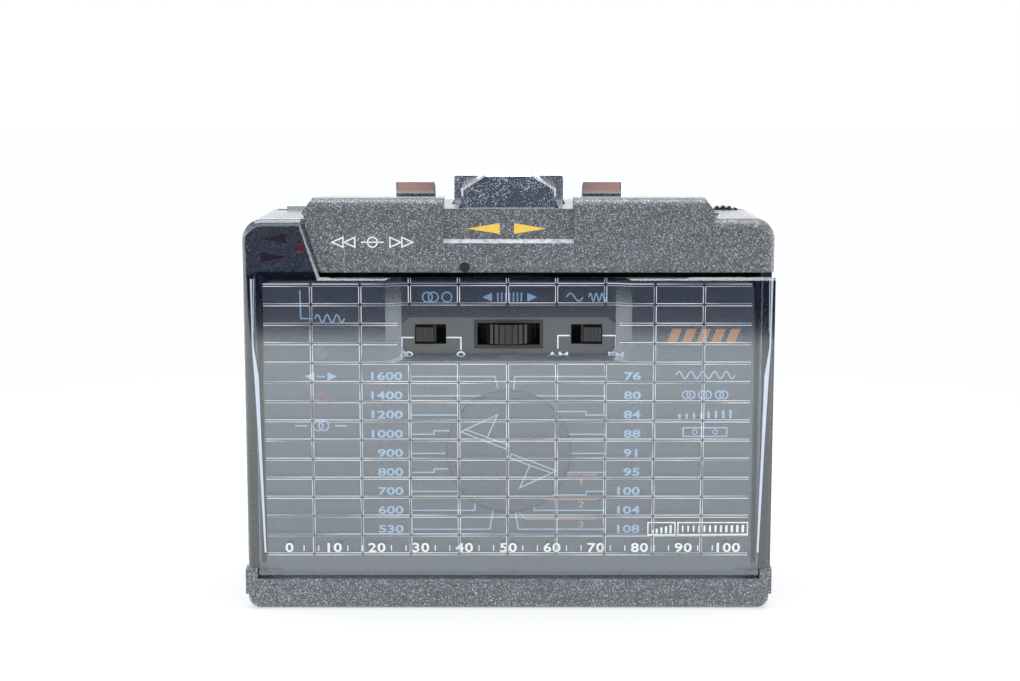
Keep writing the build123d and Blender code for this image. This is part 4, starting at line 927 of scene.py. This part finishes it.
sign_width = 0.29
heading_z = 65.05
two_rings(sheet, -16.0, heading_z, 1.0, sign_width, pack_face)
ring(sheet, (-12.6, heading_z), 1.0, sign_width, pack_face)
triangle(sheet, -5.4, -3.4, heading_z, 1.8, pack_face)
triangle(sheet, 5.8, 3.8, heading_z, 1.8, pack_face)
for tick in range(7):
    x = -2.2 + tick * 0.8
    line(sheet, (x, heading_z - 0.8), (x, heading_z + 0.8), sign_width, pack_face)
wave(sheet, 11.8, 15.2, heading_z, 1.6, 1, sign_width, pack_face)
wave(sheet, 16.4, 20.0, heading_z, 1.6, 3, sign_width, pack_face)
path(sheet, [(-42.6, 66.5), (-42.5, 60.7), (-40.3, 60.7)], leader_width, pack_face)
wave(sheet, -39.6, -33.6, 60.7, 1.6, 3, sign_width, pack_face)
triangle(sheet, -41.9, -39.9, 48.7, 1.8, pack_face)
triangle(sheet, -35.2, -37.2, 48.7, 1.8, pack_face)
line(sheet, (-39.2, 48.7), (-37.9, 48.7), sign_width, pack_face)
two_rings(sheet, -38.7, 38.4, 1.0, sign_width, pack_face)
for side in (-1, 1):
    line(sheet, (-38.7 + side * 3.0, 38.4), (-38.7 + side * 5.2, 38.4), sign_width, pack_face)
words_left, words_right = 33.6, 47.3
wave(sheet, words_left + 0.8, words_right - 0.8, scale_top + 0.3, 1.5, 5, sign_width, pack_face)
for offset in (-3.4, 0.0, 3.4):
    two_rings(sheet, 40.4 + offset, scale_top - scale_step + 0.2, 0.8, sign_width, pack_face)
for bar in range(8):
    x = words_left + 1.6 + bar * 1.5
    line(sheet, (x, 40.2), (x, 40.6 + 0.13 * bar), 0.5, pack_face)
corners = [(36.0, 36.2), (45.0, 36.2), (45.0, 38.0), (36.0, 38.0)]
path(sheet, corners, sign_width, pack_face, closed=True)
ring(sheet, (38.4, 37.1), 0.45, 0.2, pack_face)
ring(sheet, (42.6, 37.1), 0.45, 0.2, pack_face)
finished("pack_printing_blue", sheet, blue_ink, "door")

pale_ink = ink("pale_ink", (0.84, 0.97, 0.99), (0.76, 0.92, 0.95))
sheet = bmesh.new()
switch_z = 56.7
path(sheet, [(-21.9, 53.7), (-21.9, switch_z), (-19.4, switch_z)], leader_width, pack_face)
path(sheet, [(-12.8, switch_z), (-9.8, switch_z), (-9.8, 54.1)], leader_width, pack_face)
path(sheet, [(10.1, 54.4), (10.1, switch_z + 0.4), (12.6, switch_z + 0.4)], leader_width, pack_face)
path(sheet, [(19.2, switch_z + 0.4), (22.0, switch_z + 0.4), (22.0, 54.4)], leader_width, pack_face)
two_rings(sheet, -21.0, 52.9, 0.8, sign_width, pack_face)
ring(sheet, (-9.8, 52.9), 0.8, sign_width, pack_face)
lettering(sheet, "AM", 1.5, (10.2, 52.9), pack_face, "CENTER", 1.4, 0.03)
lettering(sheet, "FM", 1.5, (22.2, 52.9), pack_face, "CENTER", 1.4, 0.03)
finished("pack_printing_pale", sheet, pale_ink, "door")

orange_ink = ink("orange_ink", (0.98, 0.44, 0.16), (0.90, 0.38, 0.13))
sheet = bmesh.new()
for points, figure, place in (
    ([(11.9, 28.1), (18.3, 28.1)], "1", (15.0, 26.6)),
    ([(7.1, 22.9), (18.4, 22.9)], "2", (15.0, 21.8)),
    ([(1.9, 20.3), (3.6, 18.7), (18.4, 18.7)], "3", (15.0, 17.5)),
):
    path(sheet, points, leader_width, pack_face)
    lettering(sheet, figure, 1.4, place, pack_face, "CENTER", 1.5, 0.02)
stripe_low, stripe_high = 55.8, 58.6
stripe_lean = 1.1
for stripe in range(5):
    left = 32.4 + stripe * 3.0
    low, high = (left, stripe_low), (left + 2.0, stripe_low)
    shape(
        sheet,
        (low, high, (high[0] + stripe_lean, stripe_high), (low[0] + stripe_lean, stripe_high)),
        pack_face,
    )
finished("pack_printing_orange", sheet, orange_ink, "door")

# Dial
# A flat satin disc ringed by a dark line of painted shade, for the shaded gap at its rim, and a
# pointer of two half arrows in thin pale lines across its middle.
dial_satin = moulded("dial_satin", (0.075, 0.082, 0.085), (0.068, 0.074, 0.077), 0.4)
wear(("dial_disc",), dial_satin)
dial_low, dial_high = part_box("dial_disc")
dial_face = dial_low.y / MM - print_lift
dial_z = (dial_low.z + dial_high.z) / 2 / MM
# A black ring on the pack round the disc is painted shade for the gap at its rim.
sheet = bmesh.new()
ring(sheet, (0, dial_z), 12.82, 0.42, pack_face, steps=96)
finished("dial_gap_painted_shade", sheet, painted_shade_black, "door")
pointer_line = 0.24
sheet = bmesh.new()
half_arrow = [(-9.9, 4.1), (-2.3, 7.7), (-4.4, 2.9)]
shaft_upper = [(-8.9, 4.6), (0.4, 1.15)]
shaft_lower = [(-9.9, 4.1), (-0.6, 0.55), (-0.3, 1.4)]
for turn in (1, -1):
    for points in (half_arrow, shaft_upper, shaft_lower):
        moved = [(turn * x, dial_z + turn * z) for x, z in points]
        path(sheet, moved, pointer_line, dial_face)
finished("dial_pointer", sheet, pale_ink, "dial")

# Tuning wheel and switch knobs
# Ribbed black mouldings, a little shiny. A black rim frames the wheel.
sheet = bmesh.new()
rim_width = 0.7
rim_half, rim_rise = 6.4 + rim_width / 2, 2.3 + rim_width / 2
wheel_low, wheel_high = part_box("tuning_wheel")
wheel_z = (wheel_low.z + wheel_high.z) / 2 / MM
corners = [
    (-rim_half, wheel_z - rim_rise),
    (rim_half, wheel_z - rim_rise),
    (rim_half, wheel_z + rim_rise),
    (-rim_half, wheel_z + rim_rise),
]
path(sheet, corners, rim_width, pack_face, closed=True)
rim_black = ink("rim_black", (0.022, 0.022, 0.024), (0.014, 0.014, 0.015), 0.5)
finished("wheel_rim", sheet, rim_black, "door")
wheel_black = moulded("wheel_black", (0.022, 0.022, 0.023), (0.012, 0.012, 0.013), 0.32, 900.0)
wear(("tuning_wheel", "mode_knob", "band_knob", "volume_wheel"), wheel_black)


# Lights
# Small domed lenses in tinted plastic, unlit.
def lens_tint(name, colour, deep, coat=0.8):
    """A tinted plastic lens, uneven in tone."""
    material, tree, shader = new_material(name)
    noise = new_node(tree, "ShaderNodeTexNoise", Scale=700.0, Detail=2.0)
    tree.links.new(object_place(tree), noise.inputs["Vector"])
    tone = ramp(tree, noise.outputs["Fac"], [(0.35, deep), (0.65, colour)])
    tree.links.new(tone, shader.inputs["Base Color"])
    shader.inputs["Roughness"].default_value = 0.16
    shader.inputs["Coat Weight"].default_value = coat
    return material


def dome(name, lamp, height, material, body, rings=6, steps=32):
    """A low dome on the front face of a round lamp, with the lamp in the same tint."""
    wear((lamp,), material)
    low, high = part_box(lamp)
    middle = (low + high) / 2
    radius = (high.x - low.x) / 2
    cap = bmesh.new()
    loops = []
    for index in range(rings):
        turn = math.pi / 2 * index / rings
        reach, rise = radius * math.cos(turn), height * MM * math.sin(turn)
        loop = []
        for step in range(steps):
            angle = 2 * math.pi * step / steps
            x, z = middle.x + reach * math.cos(angle), middle.z + reach * math.sin(angle)
            loop.append(cap.verts.new((x, low.y - rise, z)))
        loops.append(loop)
    peak = cap.verts.new((middle.x, low.y - height * MM, middle.z))
    for near, far in zip(loops, loops[1:]):
        for step in range(steps):
            cap.faces.new((near[step - 1], near[step], far[step], far[step - 1]))
    for step in range(steps):
        cap.faces.new((loops[-1][step - 1], loops[-1][step], peak))
    for face in cap.faces:
        face.smooth = True
    finished(name, cap, material, body)


lens_green = lens_tint("lens_green", (0.12, 0.36, 0.26), (0.06, 0.20, 0.14))
lens_rose = lens_tint("lens_rose", (0.36, 0.10, 0.14), (0.20, 0.05, 0.07))
lens_red = lens_tint("lens_red", (0.30, 0.02, 0.045), (0.16, 0.010, 0.02))
dome("tune_dome", "tune_led", 0.3, lens_green, "door")
dome("stereo_dome", "stereo_led", 0.3, lens_rose, "door")
dome("power_dome", "power_led", 0.12, lens_red, "player")
wear(("direction_lenses",), lens_tint("lens_brown", (0.085, 0.022, 0.022), (0.055, 0.014, 0.015)))

# Keys
# Chrome-plated caps. The wide direction key is dusty; the two small keys are neutral bright
# chrome that mirrors warm patches in front of the player.
chrome, tree, shader = new_material("dusty_chrome")
dust = new_node(tree, "ShaderNodeTexVoronoi", Scale=1 / (0.14 * MM), Randomness=1.0)
tree.links.new(object_place(tree), dust.inputs["Vector"])
parted = tree.nodes.new("ShaderNodeSeparateColor")
tree.links.new(dust.outputs["Color"], parted.inputs[0])
patches = new_node(tree, "ShaderNodeTexNoise", Scale=220.0, Detail=2.0)
tree.links.new(object_place(tree), patches.inputs["Vector"])
total = value_of(tree, "ADD", parted.outputs[0], patches.outputs["Fac"])
grains = new_node(tree, "ShaderNodeMapRange", From_Min=1.30, From_Max=1.55)
tree.links.new(total, grains.inputs["Value"])
tone = ramp(tree, grains.outputs[0], [(0.0, (0.66, 0.72, 0.80)), (1.0, (0.48, 0.52, 0.57))])
tree.links.new(tone, shader.inputs["Base Color"])
bare = value_of(tree, "SUBTRACT", 1.0, value_of(tree, "MULTIPLY", grains.outputs[0], 0.6))
tree.links.new(bare, shader.inputs["Metallic"])
dull = value_of(tree, "ADD", value_of(tree, "MULTIPLY", grains.outputs[0], 0.5), 0.08)
tree.links.new(dull, shader.inputs["Roughness"])
wear(("direction_key", "tape_switch"), chrome)
bright_chrome = moulded(
    "bright_chrome", (0.82, 0.82, 0.83), (0.70, 0.70, 0.72), 0.10, 120.0, 900.0, 0.04, 1.0
)
wear(("stop_key", "play_key"), bright_chrome)

# Inside
# Black pressed steel, bright plated steel, brass, rubber and board, as they show behind the
# open door, through the slots and at the back.
black_moulding = moulded("black_moulding", (0.030, 0.030, 0.032), (0.020, 0.020, 0.021), 0.45)
wear(
    (
        "pack_holder",
        "supply_spindle",
        "takeup_spindle",
        "volume_control",
        "tuning_capacitor",
        "hinge_pins",
    ),
    black_moulding,
)
wear(("headphone_jack",), moulded("jack_moulding", (0.035, 0.035, 0.037), (0.022, 0.022, 0.023), 0.4))
wear(("deck_plate",), moulded("black_steel", (0.040, 0.040, 0.043), (0.026, 0.026, 0.028), 0.34, 300.0))
bright_steel = moulded(
    "bright_steel", (0.66, 0.66, 0.68), (0.52, 0.52, 0.54), 0.28, 400.0, 1800.0, 0.1, 1.0
)
wear(
    (
        "flywheel_bracket",
        "drive_motor",
        "battery_contacts",
        "dial_drive_shaft",
        "left_flywheel",
        "right_flywheel",
        "head_carriage",
        "tape_head",
    ),
    bright_steel,
)
blackened_steel = moulded(
    "blackened_steel", (0.085, 0.085, 0.09), (0.06, 0.06, 0.065), 0.42, 400.0, 1800.0, 0.1, 1.0
)
wear(("case_screws",), blackened_steel)
brass = moulded("brass", (0.78, 0.58, 0.27), (0.62, 0.43, 0.18), 0.3, 400.0, 1800.0, 0.1, 1.0)
wear(("capstan_bushes", "motor_pulley", "deck_contacts", "pack_contacts"), brass)
rubber = moulded("rubber", (0.032, 0.031, 0.030), (0.018, 0.018, 0.017), 0.75, 800.0, 3000.0, 0.3)
wear(("drive_belt", "dial_drive_roller", "left_pinch_roller", "right_pinch_roller"), rubber)
wear(("circuit_board", "tuner_board"), moulded("board", (0.10, 0.30, 0.15), (0.06, 0.20, 0.10), 0.4))
wear(("ferrite_aerial",), moulded("ferrite", (0.07, 0.065, 0.062), (0.04, 0.038, 0.036), 0.55))
wear(("battery_cells",), moulded("cell_jacket", (0.72, 0.52, 0.14), (0.62, 0.43, 0.10), 0.3, 60.0))
